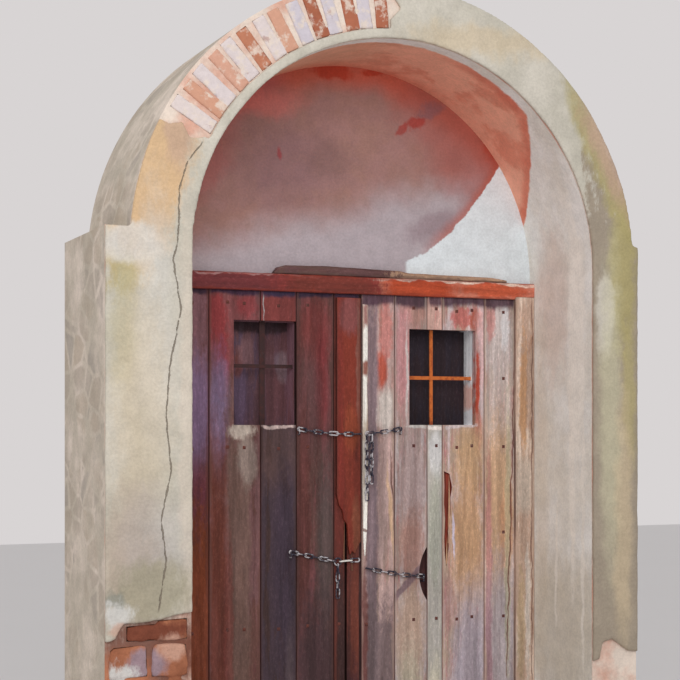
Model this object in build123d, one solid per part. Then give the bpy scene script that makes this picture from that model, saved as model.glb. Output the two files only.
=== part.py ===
"""Arched plank double door with its timber frame, masonry surround and chains.

All lengths are in millimetres. X runs to the right as the door is seen from outside, Y runs into
the building and Z runs up. X = 0 is the middle of the opening, Y = 0 is the face of the half-round
panel over the door, and Z = 0 is the ground. Left and right are as seen from outside.
"""

from build123d import *
import math
import os

os.makedirs("parts", exist_ok=True)

# Masonry opening and ring
OPENING_WIDTH = 1700.0
SPRING_HEIGHT = 2230.0
REVEAL_DEPTH = 500.0
PANEL_THICKNESS = 110.0
RING_THICKNESS = 210.0
RING_SHIFT = 20.0
LEFT_JAMB_WIDTH = 320.0
RIGHT_JAMB_WIDTH = 210.0
LEFT_IMPOST_RISE = 80.0
RIGHT_IMPOST_RISE = 100.0
SILL_HEIGHT = 60.0

# Plaster coat on the front of the masonry
COAT_THICKNESS = 15.0
COAT_GROUND_GAP = 30.0
RIM_WIDTH = 35.0
LOST_FROM_ANGLE = 92.0
LOST_TO_ANGLE = 153.0
LEFT_COAT_EDGE = 828.0
RIGHT_COAT_EDGE = 700.0
CRACK_WIDTH = 5.0
CRACK_DEPTH = 9.0

# Voussoir bricks and the stones of the left jamb
BRICK_COUNT = 14
BRICK_THICKNESS = 52.0
BRICK_DEPTH = 110.0
BRICK_PROUD = 8.0
STONE_COURSE = 130.0
STONE_JOINT = 16.0
STONE_DEPTH = 60.0
STONE_PROUD = 9.0

# Timber frame
POST_WIDTH = 80.0
BEAM_HEIGHT = 60.0
BEAM_DROP = 20.0
FRAME_FRONT = -40.0
POST_BACK = 31.0
REBATE_LAP = 12.0
REBATE_THICKNESS = 16.0
TIMBER_ARRIS = 4.0
LEDGE_BOARD_HEIGHT = 38.0
LEDGE_BOARD_DEPTH = 34.0
LEDGE_BOARD_LEFT = -356.0
LEDGE_BOARD_RIGHT = 727.0

# Leaves
LEAF_FRONT = -22.0
PLANK_THICKNESS = 28.0
CROSS_BOARD_THICKNESS = 26.0
EDGE_GAP = 6.0
TOP_GAP = 7.0
BOTTOM_GAP = 10.0
MEETING_X = 35.0
MEETING_GAP = 10.0
SEAM = 1.6
ARRIS = 3.0
CUT_OVER = 1.0
LEFT_PLANK_WIDTHS = (141.0, 218.0, 155.0, 165.0)
RIGHT_PLANK_WIDTHS = (150.0, 201.0, 71.0, 152.0)

# Cross boards behind the planks
TOP_BOARD_WIDTH = 78.0
UPPER_BOARD_WIDTH = 132.0
LOWER_BOARD_WIDTH = 140.0
BOTTOM_BOARD_WIDTH = 140.0
LOWER_BOARD_RISE = 710.0
BOTTOM_BOARD_RISE = 140.0
BOARD_TO_LINING = 10.0
CROSS_BOARD_INSET = 20.0

# Windows
WINDOW_TOP_RAIL = 123.0
LEFT_WINDOW_HEIGHT = 420.0
RIGHT_WINDOW_HEIGHT = 402.0
LEFT_WINDOW_CUTS = (114.0, 0.0)
RIGHT_WINDOW_CUTS = (158.0, 84.0)
LINING_THICKNESS = 16.0
LINING_DEPTH = 78.0
WINDOW_BOARD_THICKNESS = 12.0
BAR_WIDTH = 15.0
BAR_THICKNESS = 5.0
LEFT_BAR_WIDTH = 24.0
BAR_SETBACK = 46.0
LEFT_CROSS_BAR_HEIGHT = 238.0
RIGHT_CROSS_BAR_HEIGHT = 199.0
LEFT_BAR_SHARE = 0.51
RIGHT_BAR_SHARE = 0.40

# Strip and lath on the meeting edges
STRIP_WIDTH = 108.0
STRIP_THICKNESS = 14.0
STRIP_TOP_GAP = 20.0
STRIP_OVER_CHAIN = 22.0
LATH_WIDTH = 27.0
LATH_THICKNESS = 8.0
LATH_TOP_GAP = 45.0
LATH_OVER_CHAIN = 10.0

# Decay in the boards
SPLIT_DEPTH = 20.0
SPLIT_WIDTH = 14.0
SPLIT_UNDER_STRIP = 268.0
GASH_DEPTH = 14.0
GASH_HEIGHT = 405.0
GASH_UNDER_SILL = 195.0
HOLE_DEPTH = 22.0
HOLE_WIDTH = 38.0
HOLE_HEIGHT = 230.0
HOLE_UNDER_CHAIN = 65.0

# Nails
NAIL_HEAD = 13.0
NAIL_HEAD_HEIGHT = 3.5
NAIL_SHANK = 4.5
NAIL_LENGTH = 40.0
NAIL_CLEARANCE = 0.1
NAIL_WANDER = 5.0
LEFT_NAIL_SHARES = ((0.5,), (0.36, 0.68), (0.5,), (0.3,), (0.2,))
RIGHT_NAIL_SHARES = ((0.38,), (0.3, 0.66), (0.4,), (0.42,), (0.86,))
UPPER_ODD_NAIL_OVER_SILL = 200.0
LOWER_ODD_NAIL_RISE = 1070.0

# Strap hinges and pintles
AXIS_INSET = 3.5
EYE_RADIUS = 12.0
EYE_HEIGHT = 44.0
PIN_RADIUS = 7.0
PIN_CLEARANCE = 0.08
STRAP_LENGTH = 430.0
STRAP_THICKNESS = 4.5
STRAP_TIP_WIDTH = 26.0
STRAP_NAILS = (90.0, 220.0, 350.0)
STRAP_NAIL_LENGTH = 24.0
PLATE_THICKNESS = 6.0
PLATE_HEIGHT = 110.0
PLATE_CLEARANCE = 2.5
LUG_HEIGHT = 14.0
REST_GAP = 0.3
PIN_STANDS_OUT = 8.0

# Chains
WIRE = 6.0
LINK_INNER_WIDTH = 8.0
LINK_PITCH = 34.0
LONG_LINK_PITCH = 48.0
LINK_PLAY = 0.25
RING_INNER_RADIUS = 12.0
CHAIN_STAND_OFF = 0.5
STAPLE_WIRE = 5.0
STAPLE_SPAN = 22.0
STAPLE_BITE = 14.0
STAPLE_BEND = 6.0
STAPLE_BACK_WALL = 2.0
LEFT_CHAIN_SETBACK = 2.0
RIGHT_CHAIN_SETBACK = 3.0
UPPER_CHAIN_UNDER_SILL = 15.0
UPPER_CHAIN_SAG = 22.0
UPPER_CHAIN_SPAN = 468.0
UPPER_CHAIN_MIDDLE = -15.0
UPPER_LEFT_LINKS = 8
UPPER_RIGHT_LINKS = 5
TAIL_LINKS = (8, 6)
TAIL_GAP = 0.4
TAIL_INSET = 4.1
LOWER_CHAIN_RISE = 970.0
LOWER_CHAIN_SLOPE = 0.22
LONG_LINK_SLOPE = 0.07
LOWER_RIGHT_UNDER_LEFT = 26.0
LOWER_CHAIN_DROP = 48.0
LOWER_LEFT_LINKS = 6
HANGING_LINKS = 4

# Sizes that follow from those above
HALF_OPENING = OPENING_WIDTH / 2
RING_OUTER = HALF_OPENING + RING_THICKNESS
MASONRY_FRONT = -REVEAL_DEPTH
COAT_FRONT = MASONRY_FRONT - COAT_THICKNESS
BEAM_TOP = SPRING_HEIGHT - BEAM_DROP
BEAM_UNDERSIDE = BEAM_TOP - BEAM_HEIGHT
PLANK_BACK = LEAF_FRONT + PLANK_THICKNESS
CROSS_BOARD_BACK = PLANK_BACK + CROSS_BOARD_THICKNESS
LEAF_BOTTOM = SILL_HEIGHT + BOTTOM_GAP
LEAF_TOP = BEAM_UNDERSIDE - TOP_GAP
POST_FACE = HALF_OPENING - POST_WIDTH
LEAF_SIDE = POST_FACE - EDGE_GAP
LEFT_FREE_EDGE = MEETING_X - MEETING_GAP / 2
RIGHT_FREE_EDGE = MEETING_X + MEETING_GAP / 2
HINGE_X = POST_FACE - AXIS_INSET
HINGE_Y = CROSS_BOARD_BACK + EYE_RADIUS
LINING_BACK = PLANK_BACK + LINING_DEPTH
TALLEST_WINDOW = max(LEFT_WINDOW_HEIGHT, RIGHT_WINDOW_HEIGHT)
WINDOW_SILL = LEAF_TOP - WINDOW_TOP_RAIL - TALLEST_WINDOW
OVER_LINING = WINDOW_SILL + TALLEST_WINDOW + LINING_THICKNESS + BOARD_TO_LINING
UNDER_LINING = WINDOW_SILL - LINING_THICKNESS - BOARD_TO_LINING
UPPER_CHAIN_LEVEL = WINDOW_SILL - UPPER_CHAIN_UNDER_SILL
LOWER_CHAIN_LEVEL = LEAF_BOTTOM + LOWER_CHAIN_RISE
STRIP_BROKEN_END = LOWER_CHAIN_LEVEL + STRIP_OVER_CHAIN
LATH_TIP = LOWER_CHAIN_LEVEL + LATH_OVER_CHAIN
SPLIT_TOP = STRIP_BROKEN_END + SPLIT_UNDER_STRIP
GASH_TOP = WINDOW_SILL - GASH_UNDER_SILL
GASH_BOTTOM = GASH_TOP - GASH_HEIGHT
HOLE_MIDDLE = LOWER_CHAIN_LEVEL - HOLE_UNDER_CHAIN
LINK_WIDTH = LINK_INNER_WIDTH + 2 * WIRE
CHAIN_Y = LEAF_FRONT - LINK_WIDTH / 2 - CHAIN_STAND_OFF
CHAIN_OVER_STRIP_Y = CHAIN_Y - STRIP_THICKNESS


def block(x0, x1, y0, y1, z0, z1):
    """A box between two corners."""
    middle = Pos((x0 + x1) / 2, (y0 + y1) / 2, (z0 + z1) / 2)
    return middle * Box(x1 - x0, y1 - y0, z1 - z0)


def front_shape(sketch, y_front, y_back):
    """Thicken a shape drawn in front view (right, up) between two depths."""
    plane = Plane(origin=(0, y_back, 0), x_dir=(1, 0, 0), z_dir=(0, -1, 0))
    return extrude(plane * sketch, amount=y_back - y_front)


def outline(*points):
    """A closed front-view shape with straight sides."""
    return make_face(Polyline(*points, close=True))


def disc(radius, shift=0.0):
    """A disc about the springing centre, shifted to the left."""
    return Pos(-shift, SPRING_HEIGHT) * Circle(radius)


def above_spring():
    """The half plane over the springing line, large enough to cut with."""
    reach = 2 * RING_OUTER
    return Pos(0, SPRING_HEIGHT + reach / 2) * Rectangle(2 * reach, reach)


def on_arch(radius, degrees):
    """A front-view point at a radius and angle about the springing centre."""
    angle = math.radians(degrees)
    return (radius * math.cos(angle), SPRING_HEIGHT + radius * math.sin(angle))


def ring_reach(degrees):
    """Distance from the springing centre to the ring's outer edge."""
    angle = math.radians(degrees)
    across = RING_SHIFT * math.sin(angle)
    return math.sqrt(RING_OUTER**2 - across**2) - RING_SHIFT * math.cos(angle)


def group(parts):
    """Several separate solids that make up one kind of piece."""
    return Compound(children=[solid for part in parts for solid in part.solids()])


def save(name, part):
    """Write one piece to its own file."""
    export_step(part, f"parts/{name}.step")


# Masonry


def ring_sketch():
    """Front view of the arch ring."""
    return (disc(RING_OUTER, RING_SHIFT) & above_spring()) - disc(HALF_OPENING)


def jamb_sketch(inner_x, outer_x, impost_rise, foot):
    """Front view of a pier whose impost shelf wraps the foot of the ring."""
    low, high = sorted((inner_x, outer_x))
    top = SPRING_HEIGHT + impost_rise
    pier = Pos((low + high) / 2, (foot + top) / 2) * Rectangle(high - low, top - foot)
    return pier - (disc(RING_OUTER, RING_SHIFT) & above_spring())


def left_jamb_sketch(foot):
    """Front view of the left pier from a given foot level."""
    outer = -HALF_OPENING - LEFT_JAMB_WIDTH
    return jamb_sketch(-HALF_OPENING, outer, LEFT_IMPOST_RISE, foot)


def right_jamb_sketch(foot):
    """Front view of the right pier from a given foot level."""
    outer = HALF_OPENING + RIGHT_JAMB_WIDTH
    return jamb_sketch(HALF_OPENING, outer, RIGHT_IMPOST_RISE, foot)


def voussoir(index):
    """One brick of the arch, its length and stand-out a little uneven."""
    step = (LOST_TO_ANGLE - LOST_FROM_ANGLE - 3) / BRICK_COUNT
    wander = math.sin(2.4 * index)
    middle = LOST_FROM_ANGLE + 1.5 + (index + 0.5) * step + 0.25 * wander
    inner = HALF_OPENING + RIM_WIDTH + 3
    outer = ring_reach(middle) - 12 - 7 * abs(math.sin(1.7 * index))
    half = BRICK_THICKNESS / 2 + 3 * math.sin(3.1 * index)
    inner_half = math.degrees(half / inner)
    outer_half = math.degrees(half / outer)
    face = outline(
        on_arch(inner, middle - inner_half),
        on_arch(outer, middle - outer_half),
        on_arch(outer, middle + outer_half),
        on_arch(inner, middle + inner_half),
    )
    proud = BRICK_PROUD * (0.75 + 0.25 * math.sin(5.3 * index))
    return front_shape(face, MASONRY_FRONT - proud, MASONRY_FRONT + BRICK_DEPTH)


def jamb_stones():
    """Rubble stones of the left pier, in courses under the broken coat."""
    outer = -HALF_OPENING - LEFT_JAMB_WIDTH + STONE_JOINT
    inner = -HALF_OPENING - STONE_JOINT
    width = inner - outer
    stones = []
    level = LEFT_COAT_EDGE - STONE_JOINT
    for course in range(6):
        share = 0.42 + 0.16 * math.sin(2.1 * course + 0.6)
        joint = outer + width * share
        proud = STONE_PROUD * (0.8 + 0.2 * math.sin(1.9 * course))
        low = level - STONE_COURSE + STONE_JOINT
        for x0, x1 in ((outer, joint - STONE_JOINT / 2), (joint + STONE_JOINT / 2, inner)):
            lean = 5 * math.sin(x0 + course)
            face = outline(
                (x0, low),
                (x1, low + abs(lean) / 2),
                (x1 - 4, level - 6),
                (x1 - 22, level),
                (x0 + 16, level - abs(lean)),
                (x0 + 3, level - 14),
            )
            stones.append(front_shape(face, MASONRY_FRONT - proud, MASONRY_FRONT + STONE_DEPTH))
        level -= STONE_COURSE
    brick_top = LEFT_COAT_EDGE + 58
    for x0, x1, top in (
        (outer + 62, outer + 165, brick_top),
        (outer + 178, inner, brick_top + 16),
    ):
        face = outline((x0, LEFT_COAT_EDGE), (x1, LEFT_COAT_EDGE), (x1, top), (x0, top - 4))
        stones.append(front_shape(face, MASONRY_FRONT - STONE_PROUD, MASONRY_FRONT + STONE_DEPTH))
    return stones


def left_coat_edge():
    """Everything under the left coat's broken lower edge, as a cutter."""
    outer = -HALF_OPENING - LEFT_JAMB_WIDTH
    steps = (
        (-0.1, -4),
        (0.02, 4),
        (0.1, 12),
        (0.2, 68),
        (0.33, 64),
        (0.5, 70),
        (0.66, 76),
        (0.84, 90),
        (1.1, 96),
    )
    edge = [(outer + share * LEFT_JAMB_WIDTH, LEFT_COAT_EDGE + rise) for share, rise in steps]
    return outline((edge[0][0], -100), (edge[-1][0], -100), *reversed(edge))


def right_coat_edge():
    """Everything under the right coat's broken lower edge, as a cutter."""
    steps = ((-0.1, -60), (0.12, -48), (0.2, 20), (0.42, 30), (0.6, 6), (0.78, -22), (1.1, -30))
    edge = [(HALF_OPENING + share * RIGHT_JAMB_WIDTH, RIGHT_COAT_EDGE + rise) for share, rise in steps]
    return outline((edge[0][0], -100), (edge[-1][0], -100), *reversed(edge))


def crack():
    """The wandering crack beside the left corner, as a thin front-view ribbon."""
    from_corner_and_spring = (
        (-129, -1310),
        (-99, -1115),
        (-118, -971),
        (-80, -792),
        (-99, -612),
        (-88, -432),
        (-43, -215),
        (-73, -36),
        (-54, 37),
        (-50, 218),
        (-22, 315),
        (45, 405),
    )
    line = [(x - HALF_OPENING, z + SPRING_HEIGHT) for x, z in from_corner_and_spring]
    back = [(x + CRACK_WIDTH, z) for x, z in reversed(line)]
    return front_shape(outline(*line, *back), COAT_FRONT - CUT_OVER, COAT_FRONT + CRACK_DEPTH)


def lost_plaster():
    """The patch of the ring where the coat has come off, as a front-view shape."""
    wedge = outline(
        on_arch(700, LOST_FROM_ANGLE + 1),
        on_arch(920, LOST_FROM_ANGLE + 1.6),
        on_arch(965, LOST_FROM_ANGLE - 1.2),
        on_arch(1010, LOST_FROM_ANGLE + 0.6),
        on_arch(1600, LOST_FROM_ANGLE - 2),
        on_arch(2200, (LOST_FROM_ANGLE + LOST_TO_ANGLE) / 2),
        on_arch(1600, LOST_TO_ANGLE + 2),
        on_arch(1040, LOST_TO_ANGLE + 1.2),
        on_arch(1000, LOST_TO_ANGLE - 0.6),
        on_arch(950, LOST_TO_ANGLE + 1.6),
        on_arch(900, LOST_TO_ANGLE - 0.5),
        on_arch(700, LOST_TO_ANGLE),
    )
    return wedge - disc(HALF_OPENING + RIM_WIDTH)


def build_masonry():
    """Threshold, piers, arch ring, panel, bricks, stones and plaster coats."""
    back = PANEL_THICKNESS
    save("threshold", block(-HALF_OPENING, HALF_OPENING, COAT_FRONT, back, 0, SILL_HEIGHT))
    stones = jamb_stones()
    left_jamb = front_shape(left_jamb_sketch(0), MASONRY_FRONT, back)
    save("left_jamb", left_jamb - stones)
    save("left_jamb_stones", group(stones))
    save("right_jamb", front_shape(right_jamb_sketch(0), MASONRY_FRONT, back))
    bricks = [voussoir(index) for index in range(BRICK_COUNT)]
    save("arch_ring", front_shape(ring_sketch(), MASONRY_FRONT, back) - bricks)
    save("arch_bricks", group(bricks))
    panel = (disc(HALF_OPENING) & above_spring()) + Pos(0, (SPRING_HEIGHT + BEAM_TOP) / 2) * Rectangle(
        OPENING_WIDTH, SPRING_HEIGHT - BEAM_TOP
    )
    save("tympanum", front_shape(panel, 0, PANEL_THICKNESS))
    groove = crack()
    coat = front_shape(left_jamb_sketch(COAT_GROUND_GAP) - left_coat_edge(), COAT_FRONT, MASONRY_FRONT)
    save("left_jamb_plaster", coat - groove)
    coat = front_shape(right_jamb_sketch(COAT_GROUND_GAP) - right_coat_edge(), COAT_FRONT, MASONRY_FRONT)
    save("right_jamb_plaster", coat)
    coat = front_shape(ring_sketch() - lost_plaster(), COAT_FRONT, MASONRY_FRONT)
    save("arch_plaster", coat - groove)


# Timber frame


def post():
    """Right-hand post: a rebated upright against the reveal, as a plan section."""
    lip = POST_FACE - REBATE_LAP
    step = FRAME_FRONT + REBATE_THICKNESS
    section = outline(
        (lip + TIMBER_ARRIS, FRAME_FRONT),
        (HALF_OPENING, FRAME_FRONT),
        (HALF_OPENING, POST_BACK),
        (POST_FACE, POST_BACK),
        (POST_FACE, step),
        (lip, step),
        (lip, FRAME_FRONT + TIMBER_ARRIS),
    )
    return extrude(Pos(0, 0, SILL_HEIGHT) * section, amount=BEAM_UNDERSIDE - SILL_HEIGHT, dir=(0, 0, 1))


def head_beam():
    """Rebated beam over the leaves, as a side section run across the opening."""
    step = FRAME_FRONT + REBATE_THICKNESS
    lip = BEAM_UNDERSIDE - REBATE_LAP
    section = outline(
        (FRAME_FRONT, lip + TIMBER_ARRIS),
        (FRAME_FRONT + TIMBER_ARRIS, lip),
        (step, lip),
        (step, BEAM_UNDERSIDE),
        (PANEL_THICKNESS, BEAM_UNDERSIDE),
        (PANEL_THICKNESS, BEAM_TOP),
        (FRAME_FRONT + TIMBER_ARRIS, BEAM_TOP),
        (FRAME_FRONT, BEAM_TOP - TIMBER_ARRIS),
    )
    side = Plane(origin=(-HALF_OPENING, 0, 0), x_dir=(0, 1, 0), z_dir=(1, 0, 0))
    beam = extrude(side * section, amount=OPENING_WIDTH)
    notch = POST_FACE - REBATE_LAP
    for sign in (-1, 1):
        x0, x1 = sorted((sign * notch, sign * HALF_OPENING))
        beam -= block(x0, x1, FRAME_FRONT - CUT_OVER, step, lip - CUT_OVER, BEAM_UNDERSIDE)
    return beam


def ledge_board():
    """Loose board on the beam, worn to an uneven top."""
    length = LEDGE_BOARD_RIGHT - LEDGE_BOARD_LEFT
    shares = (
        (0.02, 0.7),
        (0.05, 0.95),
        (0.2, 1.0),
        (0.37, 0.93),
        (0.52, 0.84),
        (0.56, 0.62),
        (0.75, 0.58),
        (0.93, 0.5),
        (0.99, 0.3),
    )
    top = [(LEDGE_BOARD_LEFT + length * across, BEAM_TOP + LEDGE_BOARD_HEIGHT * up) for across, up in shares]
    face = outline((LEDGE_BOARD_LEFT, BEAM_TOP), (LEDGE_BOARD_RIGHT, BEAM_TOP), *reversed(top))
    return front_shape(face, -LEDGE_BOARD_DEPTH, 0)


def build_timber_frame():
    """Posts, head beam and the board on it."""
    right = post()
    save("right_post", right)
    save("left_post", mirror(right, about=Plane.YZ))
    save("head_beam", head_beam())
    save("ledge_board", ledge_board())


# Leaves


def seams(side):
    """Plank edges of a leaf from its hinge side to its free edge."""
    widths = LEFT_PLANK_WIDTHS if side == "left" else RIGHT_PLANK_WIDTHS
    sign = 1 if side == "left" else -1
    lines = [-sign * LEAF_SIDE]
    for width in widths:
        lines.append(lines[-1] + sign * width)
    lines.append(LEFT_FREE_EDGE if side == "left" else RIGHT_FREE_EDGE)
    return lines


def plank_edges(side, index):
    """Left and right edge of one plank, with half a seam off each inner edge."""
    lines = seams(side)
    x0, x1 = sorted(lines[index : index + 2])
    outer = sorted((lines[0], lines[-1]))
    low = x0 if x0 == outer[0] else x0 + SEAM / 2
    high = x1 if x1 == outer[1] else x1 - SEAM / 2
    return low, high


def window_box(side):
    """Left, right, sill and head of a leaf's window."""
    lines = seams(side)
    if side == "left":
        cuts, height, sign = LEFT_WINDOW_CUTS, LEFT_WINDOW_HEIGHT, 1
    else:
        cuts, height, sign = RIGHT_WINDOW_CUTS, RIGHT_WINDOW_HEIGHT, -1
    x0, x1 = sorted((lines[2] - sign * cuts[0], lines[3] + sign * cuts[1]))
    return x0, x1, WINDOW_SILL, WINDOW_SILL + height


def cross_boards():
    """Name, middle height and width of the four boards across a leaf."""
    return {
        "top": (OVER_LINING + TOP_BOARD_WIDTH / 2, TOP_BOARD_WIDTH),
        "upper": (UNDER_LINING - UPPER_BOARD_WIDTH / 2, UPPER_BOARD_WIDTH),
        "lower": (LEAF_BOTTOM + LOWER_BOARD_RISE, LOWER_BOARD_WIDTH),
        "bottom": (LEAF_BOTTOM + BOTTOM_BOARD_RISE, BOTTOM_BOARD_WIDTH),
    }


def nail_places(side):
    """Front-view places of a leaf's board nails."""
    shares = LEFT_NAIL_SHARES if side == "left" else RIGHT_NAIL_SHARES
    lines = seams(side)
    places = []
    for level, _ in cross_boards().values():
        for index, plank_shares in enumerate(shares):
            for share in plank_shares:
                x = lines[index] + share * (lines[index + 1] - lines[index])
                z = level + NAIL_WANDER * math.sin(x)
                if not under_strip(side, x, z):
                    places.append((x, z))
    return places


def under_strip(side, x, z):
    """Whether a place lies under the cover strip or the lath."""
    if side == "left":
        return x > LEFT_FREE_EDGE - STRIP_WIDTH and z > STRIP_BROKEN_END
    return x < RIGHT_FREE_EDGE + LATH_WIDTH and z > LATH_TIP


def odd_nail_places():
    """Two single nails near the hinge side of the right leaf."""
    lines = seams("right")
    x = lines[0] + RIGHT_NAIL_SHARES[0][0] * (lines[1] - lines[0])
    return [(x, WINDOW_SILL + UPPER_ODD_NAIL_OVER_SILL), (x, LEAF_BOTTOM + LOWER_ODD_NAIL_RISE)]


def forged_nail(x, y, z, length, forward=True):
    """Rose-headed nail on a face at depth y, driven towards +Y, or -Y if not forward."""
    head = extrude(Rectangle(NAIL_HEAD, NAIL_HEAD), amount=NAIL_HEAD_HEIGHT, taper=50)
    shank = Pos(0, 0, -length / 2) * Box(NAIL_SHANK, NAIL_SHANK, length)
    out = Plane(origin=(x, y, z), x_dir=(1, 0, 0), z_dir=(0, -1 if forward else 1, 0))
    return out.location * (head + shank)


def nail_hole(x, y, z, length, forward=True):
    """The square hole that a nail's shank sits in."""
    size = NAIL_SHANK + 2 * NAIL_CLEARANCE
    deep = length + NAIL_CLEARANCE
    y0, y1 = (y - 1, y + deep) if forward else (y - deep, y + 1)
    return block(x - size / 2, x + size / 2, y0, y1, z - size / 2, z + size / 2)


def board_nail_holes(side):
    """Holes of all nails driven from the front of a leaf."""
    holes = [nail_hole(x, LEAF_FRONT, z, NAIL_LENGTH) for x, z in nail_places(side)]
    if side == "right":
        short = PLANK_THICKNESS - 2
        holes += [nail_hole(x, LEAF_FRONT, z, short) for x, z in odd_nail_places()]
    return holes


def plank(x0, x1, z0, z1):
    """A sawn board with its two front arrises taken off."""
    section = outline(
        (x0 + ARRIS, LEAF_FRONT),
        (x1 - ARRIS, LEAF_FRONT),
        (x1, LEAF_FRONT + ARRIS),
        (x1, PLANK_BACK),
        (x0, PLANK_BACK),
        (x0, LEAF_FRONT + ARRIS),
    )
    return extrude(Pos(0, 0, z0) * section, amount=z1 - z0, dir=(0, 0, 1))


def free_board_split():
    """Rotten groove down the left leaf's last board, deepest at the foot."""
    x0, x1 = plank_edges("left", 4)
    middle = x0 + 0.45 * (x1 - x0)
    half = SPLIT_WIDTH / 2
    height = SPLIT_TOP - LEAF_BOTTOM
    face = outline(
        (middle - half, LEAF_BOTTOM - CUT_OVER),
        (middle + half, LEAF_BOTTOM - CUT_OVER),
        (middle + 0.8 * half, SPLIT_TOP - 0.4 * height),
        (middle + half, SPLIT_TOP - 0.2 * height),
        (middle + 1, SPLIT_TOP),
        (middle - 1, SPLIT_TOP),
        (middle - 0.9 * half, SPLIT_TOP - 0.16 * height),
        (middle - 0.7 * half, SPLIT_TOP - 0.42 * height),
    )
    return front_shape(face, LEAF_FRONT - CUT_OVER, LEAF_FRONT + SPLIT_DEPTH)


def gash():
    """Jagged split in the right leaf's wide plank."""
    x0, x1 = plank_edges("right", 1)
    left = ((6, 1.0), (9, 0.84), (7, 0.66), (12, 0.5), (8, 0.3), (11, 0.12), (18, 0.0))
    right = ((24, 0.06), (30, 0.22), (27, 0.38), (40, 0.55), (38, 0.72), (46, 0.83), (34, 0.97))
    points = [(x0 + across, GASH_BOTTOM + GASH_HEIGHT * up) for across, up in (*left, *right)]
    return front_shape(outline(*points), LEAF_FRONT - CUT_OVER, LEAF_FRONT + GASH_DEPTH)


def chain_hole():
    """Lens-shaped rotted hole at the edge of the right leaf's fourth plank."""
    edge = seams("right")[3]
    low = (edge, HOLE_MIDDLE - HOLE_HEIGHT / 2)
    high = (edge, HOLE_MIDDLE + HOLE_HEIGHT / 2)
    rim = ThreePointArc(high, (edge - HOLE_WIDTH, HOLE_MIDDLE), low)
    face = make_face(rim + Line(low, high))
    return front_shape(face, LEAF_FRONT - CUT_OVER, LEAF_FRONT + HOLE_DEPTH)


def build_planks(side, cutters):
    """All boards of a leaf, with window, nail holes and decay cut in."""
    x0, x1, sill, head = window_box(side)
    opening = block(x0, x1, LEAF_FRONT - CUT_OVER, PLANK_BACK + CUT_OVER, sill, head)
    for index in range(5):
        low, high = plank_edges(side, index)
        if index == 2:
            pieces = {"3_upper": (head, LEAF_TOP), "3_lower": (LEAF_BOTTOM, sill)}
        else:
            pieces = {str(index + 1): (LEAF_BOTTOM, LEAF_TOP)}
        for label, (z0, z1) in pieces.items():
            board = plank(low, high, z0, z1) - opening
            near = [c for c in cutters if overlaps(c, board)]
            save(f"{side}_plank_{label}", board - near if near else board)


def overlaps(cutter, board):
    """Whether two boxes round the shapes meet."""
    a, b = cutter.bounding_box(), board.bounding_box()
    return all(
        low < high
        for low, high in (
            (a.min.X, b.max.X),
            (b.min.X, a.max.X),
            (a.min.Z, b.max.Z),
            (b.min.Z, a.max.Z),
            (a.min.Y, b.max.Y),
            (b.min.Y, a.max.Y),
        )
    )


def build_cross_boards(side, cutters):
    """The four boards across the inside of a leaf."""
    lines = seams(side)
    x0, x1 = sorted((lines[0], lines[-1]))
    x0 += CROSS_BOARD_INSET
    x1 -= CROSS_BOARD_INSET
    for name, (level, width) in cross_boards().items():
        board = block(x0, x1, PLANK_BACK, CROSS_BOARD_BACK, level - width / 2, level + width / 2)
        near = [c for c in cutters if overlaps(c, board)]
        save(f"{side}_ledge_{name}", board - near if near else board)


def window_lining(box):
    """Box lining of a window: sill and head run through, sides stand between."""
    x0, x1, sill, head = box
    t = LINING_THICKNESS
    boards = [
        block(x0 - t, x1 + t, PLANK_BACK, LINING_BACK, sill - t, sill),
        block(x0 - t, x1 + t, PLANK_BACK, LINING_BACK, head, head + t),
        block(x0 - t, x0, PLANK_BACK, LINING_BACK, sill, head),
        block(x1, x1 + t, PLANK_BACK, LINING_BACK, sill, head),
    ]
    return group(boards)


def build_window(side):
    """Lining, back board and the two crossing bars of one window."""
    box = window_box(side)
    x0, x1, sill, head = box
    t = LINING_THICKNESS
    save(f"{side}_window_lining", window_lining(box))
    board = block(x0 - t, x1 + t, LINING_BACK, LINING_BACK + WINDOW_BOARD_THICKNESS, sill - t, head + t)
    save(f"{side}_window_board", board)
    if side == "left":
        share, width, rise = LEFT_BAR_SHARE, LEFT_BAR_WIDTH, LEFT_CROSS_BAR_HEIGHT
    else:
        share, width, rise = RIGHT_BAR_SHARE, BAR_WIDTH, RIGHT_CROSS_BAR_HEIGHT
    front = LEAF_FRONT + BAR_SETBACK
    middle = x0 + share * (x1 - x0)
    level = sill + rise
    half = width / 2
    upright = block(middle - half, middle + half, front, front + BAR_THICKNESS, sill, head)
    cross = block(x0, x1, front - BAR_THICKNESS, front, level - BAR_WIDTH / 2, level + BAR_WIDTH / 2)
    save(f"{side}_window_bar_vertical", upright)
    save(f"{side}_window_bar_horizontal", cross)


def cover_strip():
    """Strip nailed on the left leaf's free edge, broken to a splinter at its foot."""
    right = LEFT_FREE_EDGE
    left = right - STRIP_WIDTH
    top = LEAF_TOP - STRIP_TOP_GAP
    end = STRIP_BROKEN_END
    face = outline(
        (left, top),
        (left, end + 250),
        (left + 12, end + 206),
        (left + 27, end + 187),
        (left + 33, end + 150),
        (left + 48, end + 128),
        (left + 52, end + 40),
        (left + 60, end),
        (left + 70, end + 22),
        (left + 82, end + 8),
        (right - 9, end + 46),
        (right, end + 60),
        (right, top),
    )
    return front_shape(face, LEAF_FRONT - STRIP_THICKNESS, LEAF_FRONT)


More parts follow.
